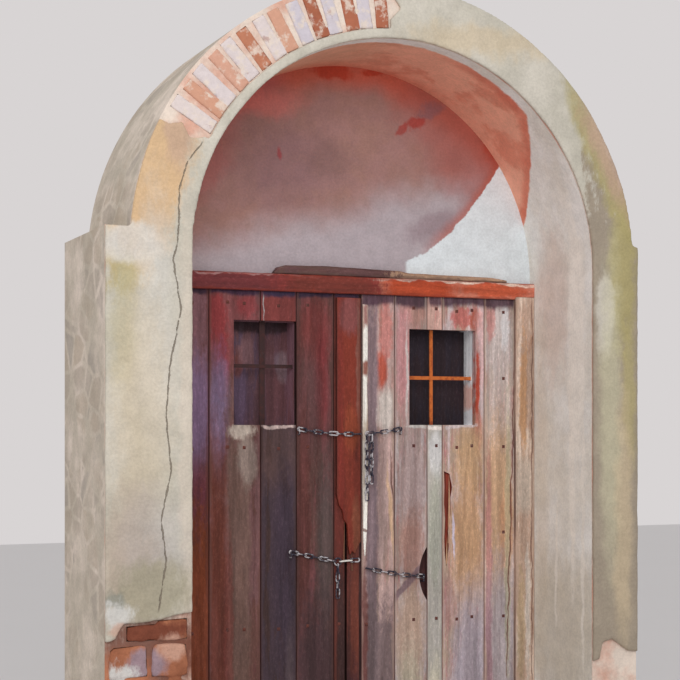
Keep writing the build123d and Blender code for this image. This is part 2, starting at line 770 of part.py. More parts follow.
def edge_lath():
    """Worn lath on the right leaf's free edge, tapering to a point."""
    left = RIGHT_FREE_EDGE
    right = left + LATH_WIDTH
    top = LEAF_TOP - LATH_TOP_GAP
    tip = LATH_TIP
    face = outline(
        (left, top),
        (left, tip + 330),
        (left + 3, tip + 180),
        (left + 5, tip + 60),
        (left + 12, tip),
        (left + 17, tip + 55),
        (right - 5, tip + 130),
        (right - 2, tip + 260),
        (right, tip + 560),
        (right - 4, tip + 700),
        (right - 1, top - 140),
        (right - 3, top),
    )
    return front_shape(face, LEAF_FRONT - LATH_THICKNESS, LEAF_FRONT)


# Hinges


def strap_hinge(level):
    """Left strap with its eye: a tapered flat bar rolled round the pin."""
    axis = -HINGE_X
    length = STRAP_LENGTH
    half_root = EYE_HEIGHT / 2
    half_tip = STRAP_TIP_WIDTH / 2
    bar = outline(
        (axis, level - half_root),
        (axis + 40, level - half_root),
        (axis + length - half_tip, level - half_tip),
        (axis + length - half_tip, level + half_tip),
        (axis + 40, level + half_root),
        (axis, level + half_root),
    )
    bar += Pos(axis + length - half_tip, level) * Circle(half_tip)
    strap = front_shape(bar, CROSS_BOARD_BACK, CROSS_BOARD_BACK + STRAP_THICKNESS)
    strap += Pos(axis, HINGE_Y, level) * Cylinder(EYE_RADIUS, EYE_HEIGHT)
    strap -= Pos(axis, HINGE_Y, level) * Cylinder(PIN_RADIUS + PIN_CLEARANCE, EYE_HEIGHT + 2)
    return strap - [strap_nail_hole(level, along) for along in STRAP_NAILS]


def strap_face():
    """Depth of the strap's inner face, where its nail heads sit."""
    return CROSS_BOARD_BACK + STRAP_THICKNESS


def strap_nail_hole(level, along):
    """Hole of one strap nail."""
    return nail_hole(along - HINGE_X, strap_face(), level, STRAP_NAIL_LENGTH, forward=False)


def strap_nails(level):
    """The nails of one left strap."""
    return [
        forged_nail(along - HINGE_X, strap_face(), level, STRAP_NAIL_LENGTH, forward=False)
        for along in STRAP_NAILS
    ]


def pintle(level):
    """Left pintle: a plate on the back of the post with a lug that carries the pin."""
    axis = -HINGE_X
    top = level - EYE_HEIGHT / 2 - REST_GAP
    plate_right = axis - EYE_RADIUS - PLATE_CLEARANCE
    plate_left = -HALF_OPENING + 8
    low = top - PLATE_HEIGHT * 0.75
    plate = block(plate_left, plate_right, POST_BACK, POST_BACK + PLATE_THICKNESS, low, low + PLATE_HEIGHT)
    lug = block(plate_right - 10, axis, POST_BACK + 1.5, HINGE_Y + EYE_RADIUS, top - LUG_HEIGHT, top)
    lug += Pos(axis, HINGE_Y, top - LUG_HEIGHT / 2) * Cylinder(EYE_RADIUS, LUG_HEIGHT)
    pin_length = EYE_HEIGHT + REST_GAP + PIN_STANDS_OUT
    pin = Pos(axis, HINGE_Y, top + pin_length / 2) * Cylinder(PIN_RADIUS, pin_length)
    return plate + lug + pin


def hinge_levels():
    """Heights of the upper and the lower strap."""
    boards = cross_boards()
    return {"upper": boards["top"][0], "lower": boards["bottom"][0]}


def build_hinges():
    """Straps on both leaves and pintles on both posts."""
    pintles = []
    for name, level in hinge_levels().items():
        strap = strap_hinge(level)
        save(f"left_strap_{name}", strap)
        save(f"right_strap_{name}", mirror(strap, about=Plane.YZ))
        pintles.append(pintle(level))
    save("left_pintles", group(pintles))
    save("right_pintles", group([mirror(p, about=Plane.YZ) for p in pintles]))


def build_nails(side):
    """All forged nails of one leaf."""
    nails = [forged_nail(x, LEAF_FRONT, z, NAIL_LENGTH) for x, z in nail_places(side)]
    if side == "right":
        short = PLANK_THICKNESS - 2
        nails += [forged_nail(x, LEAF_FRONT, z, short) for x, z in odd_nail_places()]
    for level in hinge_levels().values():
        nails += [n if side == "left" else mirror(n, about=Plane.YZ) for n in strap_nails(level)]
    save(f"{side}_leaf_nails", group(nails))


# Chains


def chain_link(pitch=LINK_PITCH, width=LINK_WIDTH):
    """Oval link of round wire lying in the XY plane, long side along X."""
    bend = (width - WIRE) / 2
    half_straight = pitch / 2 + WIRE / 2 - bend
    section = Plane.XZ * (Pos(bend, 0) * Circle(WIRE / 2))
    turn = revolve(section, Axis.Z, 180)
    end = Pos(half_straight, 0, 0) * Rot(0, 0, -90) * turn
    link = end + mirror(end, about=Plane.YZ)
    side = Rot(0, 90, 0) * Cylinder(WIRE / 2, 2 * half_straight)
    return link + Pos(0, bend, 0) * side + Pos(0, -bend, 0) * side


def place_link(shape, start, end, flat):
    """Put a link between two joints, facing the door if flat, else edge-on."""
    along = (end - start).normalized()
    facing = Vector(0, 1, 0)
    facing = (facing - along * facing.dot(along)).normalized()
    normal = facing if flat else along.cross(facing)
    seat = Plane(origin=(start + end) * 0.5, x_dir=along, z_dir=normal)
    return seat.location * shape


def along_path(path, x, chord):
    """The next x on a path at a straight distance from the point at x."""
    step = chord
    here = Vector(*path(x))
    for _ in range(12):
        reach = (Vector(*path(x + step)) - here).length
        step *= abs(chord) / reach
    return x + step


def chain_along(path, x, count, first_flat, direction):
    """Links along a path from x, to the right or left, and the joints between them."""
    shape = chain_link()
    joints = [Vector(*path(x))]
    for _ in range(count):
        x = along_path(path, x, direction * (LINK_PITCH - LINK_PLAY))
        joints.append(Vector(*path(x)))
    pairs = zip(joints, joints[1:])
    links = [place_link(shape, a, b, first_flat == (i % 2 == 0)) for i, (a, b) in enumerate(pairs)]
    return links, joints


def hanging(top, count):
    """Links hanging straight down from a joint, the first of them edge-on."""
    shape = chain_link()
    step = Vector(0, 0, LINK_PLAY - LINK_PITCH)
    return [place_link(shape, top + step * i, top + step * (i + 1), i % 2 == 1) for i in range(count)]


def upper_path(x):
    """Course of the upper chain: a shallow sag that rides out over the strip."""
    share = (x - UPPER_CHAIN_MIDDLE) / (UPPER_CHAIN_SPAN / 2)
    z = UPPER_CHAIN_LEVEL - UPPER_CHAIN_SAG * (1 - share**2)
    ride = (1 - abs(share)) * UPPER_CHAIN_SPAN / 2 / (2 * LINK_PITCH) - 0.5
    y = CHAIN_Y + (CHAIN_OVER_STRIP_Y - CHAIN_Y) * min(1.0, max(0.0, ride))
    return (x, y, z)


def lower_left_path(x):
    """Course of the lower chain, straight up from the ring's middle to its staple."""
    return (x, CHAIN_Y, LOWER_CHAIN_LEVEL - LOWER_CHAIN_SLOPE * (x - lower_ring_x()))


def hole_end():
    """Where the lower chain ends in the hole of the right leaf, in X."""
    return seams("right")[3] - HOLE_WIDTH / 2


def lower_right_path(x):
    """Course of the lower chain from the meeting edge into the hole."""
    share = (x - RIGHT_FREE_EDGE) / (hole_end() - RIGHT_FREE_EDGE)
    z = LOWER_CHAIN_LEVEL - LOWER_RIGHT_UNDER_LEFT - LOWER_CHAIN_DROP * share * (1.6 - 0.6 * share)
    inward = LINK_WIDTH / 4 * max(0.0, 8 * share - 7)
    return (x, CHAIN_Y + inward, z)


def lower_chain_right():
    """Links from the hole back to the meeting edge, and the staple leg in the hole."""
    room = hole_end() - right_chain_start() + STAPLE_WIRE
    count = int(room / (LINK_PITCH - LINK_PLAY))
    links, joints = chain_along(lower_right_path, hole_end(), count, True, -1)
    return links, staple_leg(joints[::-1])


def left_chain_end():
    """Last joint's x on the left leaf, clear of the meeting line as the leaf swings."""
    return LEFT_FREE_EDGE - LEFT_CHAIN_SETBACK - WIRE - LINK_PLAY


def right_chain_start():
    """First joint's x on the right leaf, clear of the meeting line as the leaf swings."""
    return RIGHT_FREE_EDGE + RIGHT_CHAIN_SETBACK + WIRE + LINK_PLAY


def ring_seat():
    """Distance from the ring's middle to a joint with a link inside it."""
    return RING_INNER_RADIUS - LINK_PLAY / 2


def lower_ring_x():
    """Middle of the ring, two links back from the meeting edge."""
    return left_chain_end() - LINK_PITCH - LONG_LINK_PITCH - ring_seat()


def staple(leg, wood_y):
    """Iron staple whose upper leg passes through a link at a point."""
    crown_y = leg.Y - WIRE / 2 - LINK_PLAY - STAPLE_WIRE / 2
    tip_y = wood_y + STAPLE_BITE
    low = leg.Z - STAPLE_SPAN
    corners = [(tip_y, leg.Z), (crown_y, leg.Z), (crown_y, low), (tip_y, low)]
    upright = Plane(origin=(leg.X, 0, 0), x_dir=(0, 1, 0), z_dir=(1, 0, 0))
    course = upright * FilletPolyline(*corners, radius=STAPLE_BEND)
    section = Plane(origin=course @ 0, z_dir=course % 0) * Circle(STAPLE_WIRE / 2)
    return sweep(section, path=course)


def staple_holes(leg, wood_y):
    """Holes that a staple's legs sit in."""
    radius = STAPLE_WIRE / 2 + NAIL_CLEARANCE
    length = STAPLE_BITE + NAIL_CLEARANCE + 1
    hole = Pos(leg.X, wood_y + length / 2 - 1, leg.Z) * Rot(90, 0, 0) * Cylinder(radius, length)
    return [hole, Pos(0, 0, -STAPLE_SPAN) * hole]


def staple_leg(joints):
    """Middle of the staple leg that the last link bears on, inside that link."""
    inward = (joints[-2] - joints[-1]).normalized()
    return joints[-1] + inward * (STAPLE_WIRE / 2 + LINK_PLAY)


def upper_chain_left():
    """Left half of the upper chain, and its staple leg."""
    last_flat = UPPER_LEFT_LINKS % 2 == 1
    links, joints = chain_along(upper_path, left_chain_end(), UPPER_LEFT_LINKS, last_flat, -1)
    return links, staple_leg(joints)


def upper_chain_right():
    """Right half of the upper chain with its doubled tail, and its staple leg."""
    links, joints = chain_along(upper_path, right_chain_start(), UPPER_RIGHT_LINKS, True, 1)
    middle = (joints[0] + joints[1]) * 0.5
    seat = LINK_WIDTH / 2 - WIRE - LINK_PLAY / 2
    slope = (joints[1].Z - joints[0].Z) / (joints[1].X - joints[0].X)
    shift = TAIL_INSET - LINK_PITCH / 2
    for count in TAIL_LINKS:
        links += hanging(middle + Vector(shift, 0, slope * shift - seat), count)
        shift += LINK_WIDTH + TAIL_GAP
    return links, staple_leg(joints)


def lower_chain_left():
    """Left half of the lower chain with the ring and the long link, and its staple leg."""
    middle = Vector(lower_ring_x(), CHAIN_Y, LOWER_CHAIN_LEVEL)
    start = middle.X - ring_seat() / math.hypot(1, LOWER_CHAIN_SLOPE)
    links, joints = chain_along(lower_left_path, start, LOWER_LEFT_LINKS, False, -1)
    ring = Pos(middle) * Rot(90, 0, 0) * Torus(RING_INNER_RADIUS + WIRE / 2, WIRE / 2)
    links += hanging(middle - Vector(0, 0, ring_seat()), HANGING_LINKS)
    rise = Vector(1, 0, LONG_LINK_SLOPE).normalized()
    near = middle + rise * ring_seat()
    far = near + rise * (LONG_LINK_PITCH - LINK_PLAY)
    long_link = place_link(chain_link(LONG_LINK_PITCH), near, far, False)
    links.append(place_link(chain_link(), far, far + Vector(LINK_PITCH - LINK_PLAY, 0, 0), True))
    return links, ring, long_link, staple_leg(joints)


def build_chains():
    """Both chains, opened at the meeting line, and the holes of their staples."""
    upper_left, upper_left_leg = upper_chain_left()
    upper_right, upper_right_leg = upper_chain_right()
    lower_left, ring, long_link, lower_left_leg = lower_chain_left()
    lower_right, lower_right_leg = lower_chain_right()
    save("upper_chain_left", group(upper_left))
    save("upper_chain_right", group(upper_right))
    save("lower_chain_left", group(lower_left))
    save("lower_chain_right", group(lower_right))
    save("chain_ring", ring)
    save("long_link", long_link)
    in_hole = PLANK_BACK - STAPLE_BACK_WALL - STAPLE_BITE
    left_legs = ((upper_left_leg, LEAF_FRONT), (lower_left_leg, LEAF_FRONT))
    right_legs = ((upper_right_leg, LEAF_FRONT), (lower_right_leg, in_hole))
    save("left_staples", group([staple(leg, y) for leg, y in left_legs]))
    save("right_staples", group([staple(leg, y) for leg, y in right_legs]))
    return {
        "left": [hole for leg, y in left_legs for hole in staple_holes(leg, y)],
        "right": [hole for leg, y in right_legs for hole in staple_holes(leg, y)],
    }


def build_leaf(side, staple_cuts):
    """One leaf without its hinges and chains."""
    cutters = board_nail_holes(side) + staple_cuts
    cutters += [free_board_split()] if side == "left" else [gash(), chain_hole()]
    build_planks(side, cutters)
    back = board_nail_holes(side)
    for level in hinge_levels().values():
        for along in STRAP_NAILS:
            hole = strap_nail_hole(level, along)
            back.append(hole if side == "left" else mirror(hole, about=Plane.YZ))
    build_cross_boards(side, back)
    build_window(side)
    build_nails(side)


def main():
    """Build every piece."""
    build_masonry()
    build_timber_frame()
    build_hinges()
    holes = build_chains()
    build_leaf("left", holes["left"])
    build_leaf("right", holes["right"])
    save("cover_strip", cover_strip())
    save("edge_lath", edge_lath())


main()
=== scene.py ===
"""Looks of an old arched plank door: limewash, brick, peeling paint, weathered boards and iron.

Lengths are in metres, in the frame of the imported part: X to the right as the door is seen from
outside, Y into the building and Z up. The leaves' face lies near Y = 0, and the masonry's at -0.5.
"""

import logging
import math
from abc import ABC, abstractmethod
from collections.abc import Callable
from dataclasses import dataclass, field, replace
from enum import Enum
from typing import Any

import bpy
from mathutils import Euler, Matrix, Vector


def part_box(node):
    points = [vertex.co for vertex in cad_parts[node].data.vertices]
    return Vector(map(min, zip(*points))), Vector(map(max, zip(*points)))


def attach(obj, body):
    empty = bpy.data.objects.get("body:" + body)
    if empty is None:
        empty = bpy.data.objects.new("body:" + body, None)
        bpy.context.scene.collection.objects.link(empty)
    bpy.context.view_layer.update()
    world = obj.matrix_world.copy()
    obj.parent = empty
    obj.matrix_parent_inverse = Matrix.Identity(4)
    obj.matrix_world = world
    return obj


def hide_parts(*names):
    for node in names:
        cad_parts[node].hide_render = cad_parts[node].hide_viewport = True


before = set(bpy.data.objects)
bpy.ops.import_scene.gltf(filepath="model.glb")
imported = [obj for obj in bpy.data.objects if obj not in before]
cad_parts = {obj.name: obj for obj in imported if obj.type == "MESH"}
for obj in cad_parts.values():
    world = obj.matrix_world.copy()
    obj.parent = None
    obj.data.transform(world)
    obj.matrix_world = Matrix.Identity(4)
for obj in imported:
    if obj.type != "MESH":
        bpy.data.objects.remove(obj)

log = logging.getLogger("arched_door")

PHOTO_SIDE = 680
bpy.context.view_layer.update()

SPRING = 2.23
OPENING_RADIUS = 0.85
MASONRY_FRONT = -0.5
MASONRY_BACK = 0.106
PLANK_BACK = 0.0055

Colour = tuple[float, float, float]


def paint(red: float, green: float, blue: float) -> Colour:
    """Turn a colour as the eye names it, each part from 0 to 255, into a linear one.

    Args:
        red: red part.
        green: green part.
        blue: blue part.

    Returns:
        The colour as the shaders want it.
    """
    parts = [value / 255 for value in (red, green, blue)]
    return tuple(v / 12.92 if v <= 0.04045 else ((v + 0.055) / 1.055) ** 2.4 for v in parts)


# Shader maths


def operator(operation: str, turned: bool = False) -> Callable[["Field", "Operand"], "Field"]:
    """Make one of the operators of a Field.

    Args:
        operation: operation of the Math or Vector Math node.
        turned: whether the Field stands on the right.

    Returns:
        The operator.
    """

    def apply(own: "Field", other: "Operand") -> "Field":
        """Add the operation's node."""
        return own.graph.maths(operation, *((other, own) if turned else (own, other)))

    return apply


class Field:
    """One output of a material's nodes, which can be used in Python arithmetic."""

    __add__, __radd__ = operator("ADD"), operator("ADD", turned=True)
    __sub__, __rsub__ = operator("SUBTRACT"), operator("SUBTRACT", turned=True)
    __mul__, __rmul__ = operator("MULTIPLY"), operator("MULTIPLY", turned=True)
    __truediv__, __pow__ = operator("DIVIDE"), operator("POWER")
    lower_of, higher_of = operator("MINIMUM"), operator("MAXIMUM")

    def __init__(self, graph: "Nodes", socket: bpy.types.NodeSocket) -> None:
        """Keep the socket and the nodes that it belongs to."""
        self.graph = graph
        self.socket = socket

    @property
    def is_vector(self) -> bool:
        """Whether the socket carries a vector or a colour."""
        return self.socket.type in ("VECTOR", "RGBA")

    def size(self) -> "Field":
        """The value without its sign."""
        return self.graph.maths("ABSOLUTE", self, 0.0)

    def whole(self) -> "Field":
        """The value rounded down."""
        return self.graph.maths("FLOOR", self, 0.0)

    def rise(self, low: float, high: float) -> "Field":
        """Smooth step from 0 at low to 1 at high."""
        settings = {"interpolation_type": "SMOOTHSTEP", "clamp": True}
        return self.graph.made("ShaderNodeMapRange", settings, {0: self, 1: low, 2: high})

    def fall(self, low: float, high: float) -> "Field":
        """Smooth step from 1 at low to 0 at high."""
        return 1 - self.rise(low, high)


Operand = float | Colour | Field


class Nodes:
    """The nodes of one material or world, made by name and by arithmetic."""

    def __init__(self, owner: bpy.types.Material | bpy.types.World) -> None:
        """Empty the nodes of a material or a world and keep it.

        Args:
            owner: the material or the world.
        """
        owner.use_nodes = True
        self.owner = owner
        self.tree = owner.node_tree
        self.tree.nodes.clear()

    def node(self, kind: str, settings: dict | None = None, inputs: dict | None = None) -> bpy.types.Node:
        """Add a node, with its settings first and then the values or links of its sockets.

        Args:
            kind: the node's type.
            settings: attributes to set; a ramp's stops go under "stops".
            inputs: socket name or number, to a value or a Field.

        Returns:
            The new node.
        """
        made = self.tree.nodes.new(kind)
        for key, value in (settings or {}).items():
            if key == "stops":
                self.set_stops(made.color_ramp, value)
            else:
                setattr(made, key, value)
        for key, value in (inputs or {}).items():
            socket = made.inputs[key]
            if isinstance(value, Field):
                self.tree.links.new(value.socket, socket)
            elif isinstance(value, tuple) and socket.type == "RGBA":
                socket.default_value = (*value, 1.0)
            else:
                socket.default_value = value
        return made

    @staticmethod
    def set_stops(ramp: bpy.types.ColorRamp, stops: list[tuple[float, Colour]]) -> None:
        """Give a ramp its stops.

        Args:
            ramp: the ramp.
            stops: place from 0 to 1, and colour, of each stop.
        """
        while len(ramp.elements) < len(stops):
            ramp.elements.new(1.0)
        for element, (place, colour) in zip(ramp.elements, stops):
            element.position = place
            element.color = (*colour, 1.0)

    def made(
        self, kind: str, settings: dict | None = None, inputs: dict | None = None, output: str | int = 0
    ) -> Field:
        """Add a node and return one of its outputs, by name or number."""
        return Field(self, self.node(kind, settings, inputs).outputs[output])

    def maths(self, operation: str, first: Operand, second: Operand) -> Field:
        """Add the Math or Vector Math node of one operation.

        Args:
            operation: the node's operation.
            first: first operand.
            second: second operand.

        Returns:
            The result.
        """
        operands = (first, second)
        vector = any(isinstance(v, tuple) or (isinstance(v, Field) and v.is_vector) for v in operands)
        if not vector:
            return self.made("ShaderNodeMath", {"operation": operation}, {0: first, 1: second})
        sides = [(float(v),) * 3 if isinstance(v, (int, float)) else v for v in operands]
        return self.made("ShaderNodeVectorMath", {"operation": operation}, {0: sides[0], 1: sides[1]})


class Graph(Nodes):
    """The nodes of one new material, with its Object coordinates."""

    def __init__(self, name: str) -> None:
        """Start a material of that name.

        Args:
            name: the material's name.
        """
        super().__init__(bpy.data.materials.new(name))
        self.point = self.made("ShaderNodeTexCoord", output="Object")
        parts = self.node("ShaderNodeSeparateXYZ", inputs={0: self.point})
        self.x, self.y, self.z = (Field(self, socket) for socket in parts.outputs)

    def noise(self, where: Field, scale: float, detail: float = 3.0, rough: float = 0.55) -> Field:
        """Soft noise from 0 to 1, of so many patches to a metre, octaves and share of the fine ones."""
        inputs = {"Vector": where, "Scale": scale, "Detail": detail, "Roughness": rough}
        return self.made("ShaderNodeTexNoise", {}, inputs)

    def placed(self, scale: Colour = (1.0, 1.0, 1.0), shift: Colour = (0.0, 0.0, 0.0)) -> Field:
        """Coordinates stretched and shifted, for grain and streaks."""
        return self.point * scale + shift

    def track(self, line: tuple[tuple[float, float], ...]) -> Field:
        """Place to the right of a line that runs down a face, at each height.

        Args:
            line: places (x, z) of the line, from top to bottom.

        Returns:
            The line's x.
        """
        top, foot = line[0][1], line[-1][1]
        left, right = min(x for x, _ in line), max(x for x, _ in line)
        wide, tall = right - left, top - foot
        stops = [((z - foot) / tall, ((x - left) / wide,) * 3) for x, z in reversed(line)]
        ramp = self.made("ShaderNodeValToRGB", {"stops": stops}, {0: (self.z - foot) / tall})
        return self.made("ShaderNodeSeparateXYZ", {}, {0: ramp}) * wide + left

    def mix(self, under: Operand, over: Operand, share: Operand) -> Field:
        """Blend two colours: under at share 0, over at share 1."""
        return self.made("ShaderNodeMix", {"data_type": "RGBA"}, {0: share, 6: under, 7: over}, 2)

    def finish(
        self, colour: Field, roughness: Operand, height: Field | None, depth: float, **fixed: float
    ) -> bpy.types.Material:
        """Join the shader, the bump and the output.

        Args:
            colour: base colour.
            roughness: a value, or a field that varies.
            height: relief for the bump, or None.
            depth: how far the relief's 0 to 1 stands for, in metres.
            fixed: other sockets of the shader that are the same all over.

        Returns:
            The finished material.
        """
        inputs = {"Base Color": colour, "Roughness": roughness}
        inputs.update({name.replace("_", " "): value for name, value in fixed.items()})
        if height is not None:
            bump = {"Strength": 1.0, "Distance": depth, "Height": height}
            inputs["Normal"] = self.made("ShaderNodeBump", {}, bump)
        shader = self.made("ShaderNodeBsdfPrincipled", {}, inputs)
        self.node("ShaderNodeOutputMaterial", {}, {"Surface": shader})
        return self.owner


# Colour patches


class Form(Enum):
    """Outline of a patch before its edge is roughened."""

    OVAL = "oval"
    BAND = "band"


@dataclass(frozen=True)
class Patch:
    """A stain, a run of worn paint or a field of another colour, placed in front view."""

    x: float
    z: float
    across: float
    tall: float
    colour: Colour
    share: float = 1.0
    soft: float = 0.35
    lean: float = 0.0
    form: Form = Form.OVAL
    ragged: float = 0.5

    def mask(self, graph: Graph, x: Field, z: Field, ragged: Field) -> Field:
        """How much of the patch shows at each point.

        Args:
            graph: the material's nodes; not used.
            x: wandering coordinate to the right.
            z: wandering coordinate upwards.
            ragged: noise about 0 that frays the edge.

        Returns:
            The mask, from 0 to the patch's share.
        """
        up = z - self.z
        right = x - self.x - up * self.lean if self.lean else x - self.x
        right = right / self.across
        up = up / self.tall
        if self.form is Form.OVAL:
            away = (right * right + up * up) ** 0.5
        else:
            away = right.size().higher_of(up.size())
        away = away + ragged * self.ragged
        return away.fall(1 - self.soft, 1 + self.soft) * self.share


def band(*sizes: Any, **more: float) -> Patch:
    """A patch with straight sides, from the values that a Patch takes."""
    return Patch(*sizes, form=Form.BAND, **more)


def cover(
    graph: Graph,
    colour: Field,
    patches: tuple[Patch, ...],
    wander: float,
    fray: float,
    across: Field | None = None,
) -> Field:
    """Lay patches over a colour, in order.

    Args:
        graph: the material's nodes.
        colour: colour underneath.
        patches: the patches, lowest first.
        wander: how far the patches' edges wander, in metres.
        fray: fine noise's number of patches to a metre.
        across: coordinate to the right, if it isn't X.

    Returns:
        The covered colour.
    """
    if not patches:
        return colour
    slow = graph.noise(graph.placed(shift=(3.1, 0.0, 1.7)), 9.0) - 0.5
    other = graph.noise(graph.placed(shift=(0.4, 5.2, 9.1)), 9.0) - 0.5
    x = (across or graph.x) + slow * wander
    z = graph.z + other * (2.0 * wander)
    ragged = graph.noise(graph.placed((1.0, 1.0, 0.5), (7.7, 0.0, 2.9)), fray, 4.0, 0.7) - 0.5
    for patch in patches:
        colour = graph.mix(colour, patch.colour, patch.mask(graph, x, z, ragged * 2.0))
    return colour


# Colours by name

CREAM = paint(193, 187, 173)
PALE_CREAM = paint(213, 206, 194)
CHALK = paint(216, 214, 210)
OCHRE = paint(212, 176, 134)
WARM_SAND = paint(206, 186, 154)
OLIVE = paint(174, 162, 112)
PINK_STONE = paint(190, 160, 140)
GREY_GREEN = paint(164, 156, 134)
GREY_LILAC = paint(172, 166, 168)
PLUM = paint(126, 96, 104)
# Orange and red of the painted shadow on the soffit.
SOFFIT_ORANGE = paint(244, 176, 150)
SOFFIT_RED = paint(214, 112, 86)
CRIMSON_RIM = paint(190, 100, 96)
# White of the painted patch of sunlight on the panel.
PAINTED_SUNLIGHT_WHITE = paint(226, 234, 238)
LIMEWASH = paint(244, 238, 228)
GREY_STONE = paint(164, 154, 146)
SAND_STONE = paint(186, 168, 148)
MORTAR = paint(196, 184, 168)
BRICK_ORANGE = paint(204, 148, 118)
PALE_BRICK = paint(222, 208, 204)
LILAC_BRICK = paint(200, 194, 206)
MADDER = paint(150, 84, 76)
CRIMSON = paint(140, 52, 52)
BRIGHT_RED = paint(184, 62, 40)
DARK_RED = paint(110, 40, 36)
BRICK_RED = paint(182, 112, 86)
BRICK_BROWN = paint(150, 86, 62)
BRICK_PINK = paint(214, 166, 146)
PALE_LIME = paint(228, 212, 198)
OFF_WHITE = paint(212, 196, 188)
PEELING_PINK = paint(206, 140, 134)
BOARD_LILAC = paint(178, 168, 172)


@dataclass(frozen=True)
class Plaster:
    """Lime plaster or limewash: a trowelled face with stains."""

    name: str
    base: Colour
    light: Colour
    patches: tuple[Patch, ...] = ()
    relief: float = 0.004
    wander: float = 0.06
    mottling: float = 0.7

    def build(self) -> bpy.types.Material:
        """Make the material."""
        graph = Graph(self.name)
        return self.face(graph, self.tone(graph))

    def tone(self, graph: Graph) -> Field:
        """Clouded colour with the stains, before the fine speckle.

        Args:
            graph: the material's nodes.

        Returns:
            The colour.
        """
        cloud = graph.noise(graph.placed((1.0, 1.0, 0.7)), 4.2, 5.0, 0.62)
        colour = graph.mix(self.base, self.light, cloud.rise(0.38, 0.66) * self.mottling)
        return cover(graph, colour, self.patches, self.wander, 34.0)

    def back(self, graph: Graph) -> Field:
        """Where the face turns to the back, from 0 to 1."""
        return graph.y.rise(MASONRY_BACK - 0.006, MASONRY_BACK)

    def face(self, graph: Graph, colour: Field, cut: Field | None = None) -> bpy.types.Material:
        """Speckle, trowel marks and the shader.

        Args:
            graph: the material's nodes.
            colour: colour of the coat.
            cut: where the face is cut into, from 0 to 1.

        Returns:
            The finished material.
        """
        speckle = graph.noise(graph.point, 95.0, 3.0, 0.7)
        blotch = graph.noise(graph.point, 13.0, 5.0, 0.7)
        mottled = 0.89 + speckle.rise(0.35, 0.65) * 0.11 + blotch.rise(0.36, 0.64) * 0.11
        colour = colour * mottled
        trowel = graph.noise(graph.placed((1.0, 1.0, 1.6)), 22.0, 5.0, 0.6)
        height = trowel * 0.7 + speckle * 0.3
        if cut is not None:
            height = height - cut
        rough = 0.82 + blotch * 0.16
        return graph.finish(colour, rough, height, self.relief, Specular_IOR_Level=0.25)


@dataclass(frozen=True)
class CrackedPlaster(Plaster):
    """Plaster coat with a thin crack down it and broken edges that are marked on the mesh."""

    crack: tuple[tuple[float, float], ...] = ()
    crack_colour: Colour = paint(128, 116, 102)
    edge_colour: Colour = paint(190, 172, 150)

    def build(self) -> bpy.types.Material:
        """Make the material.

        Returns:
            The material.
        """
        graph = Graph(self.name)
        colour = self.tone(graph)
        edge = graph.made("ShaderNodeAttribute", {"attribute_name": "edge"}, output="Fac")
        ragged = graph.noise(graph.point, 45.0, 4.0, 0.7)
        colour = graph.mix(colour, self.edge_colour, (edge + ragged - 0.5).rise(0.45, 0.75) * 0.25)
        line = self.crack_line(graph)
        return self.face(graph, graph.mix(colour, self.crack_colour, line * 0.85), line)

    def crack_line(self, graph: Graph) -> Field:
        """The crack: a thin jagged line that thickens, thins and breaks off on its way down.

        Args:
            graph: the material's nodes.

        Returns:
            1 in the crack and 0 beside it.
        """
        run = graph.placed((0.0, 0.0, 1.0))
        jag = (graph.noise(run, 16.0, 5.0, 0.75) - 0.5) * 0.022
        wide = graph.noise(graph.placed((0.0, 0.0, 1.0), (3.0, 8.0, 5.0)), 21.0, 4.0, 0.7)
        away = (graph.x - graph.track(self.crack) + jag).size()
        line = (away / (0.0008 + wide.rise(0.35, 0.7) * 0.0034)).fall(0.55, 1.5) * wide.rise(0.30, 0.42)
        top, foot = self.crack[0][1], self.crack[-1][1]
        ends = graph.z.rise(foot, foot + 0.03) * graph.z.fall(top - 0.025, top)
        front = graph.y.fall(MASONRY_FRONT - 0.002, MASONRY_FRONT + 0.002)
        return line * ends * wide.rise(0.36, 0.46) * front


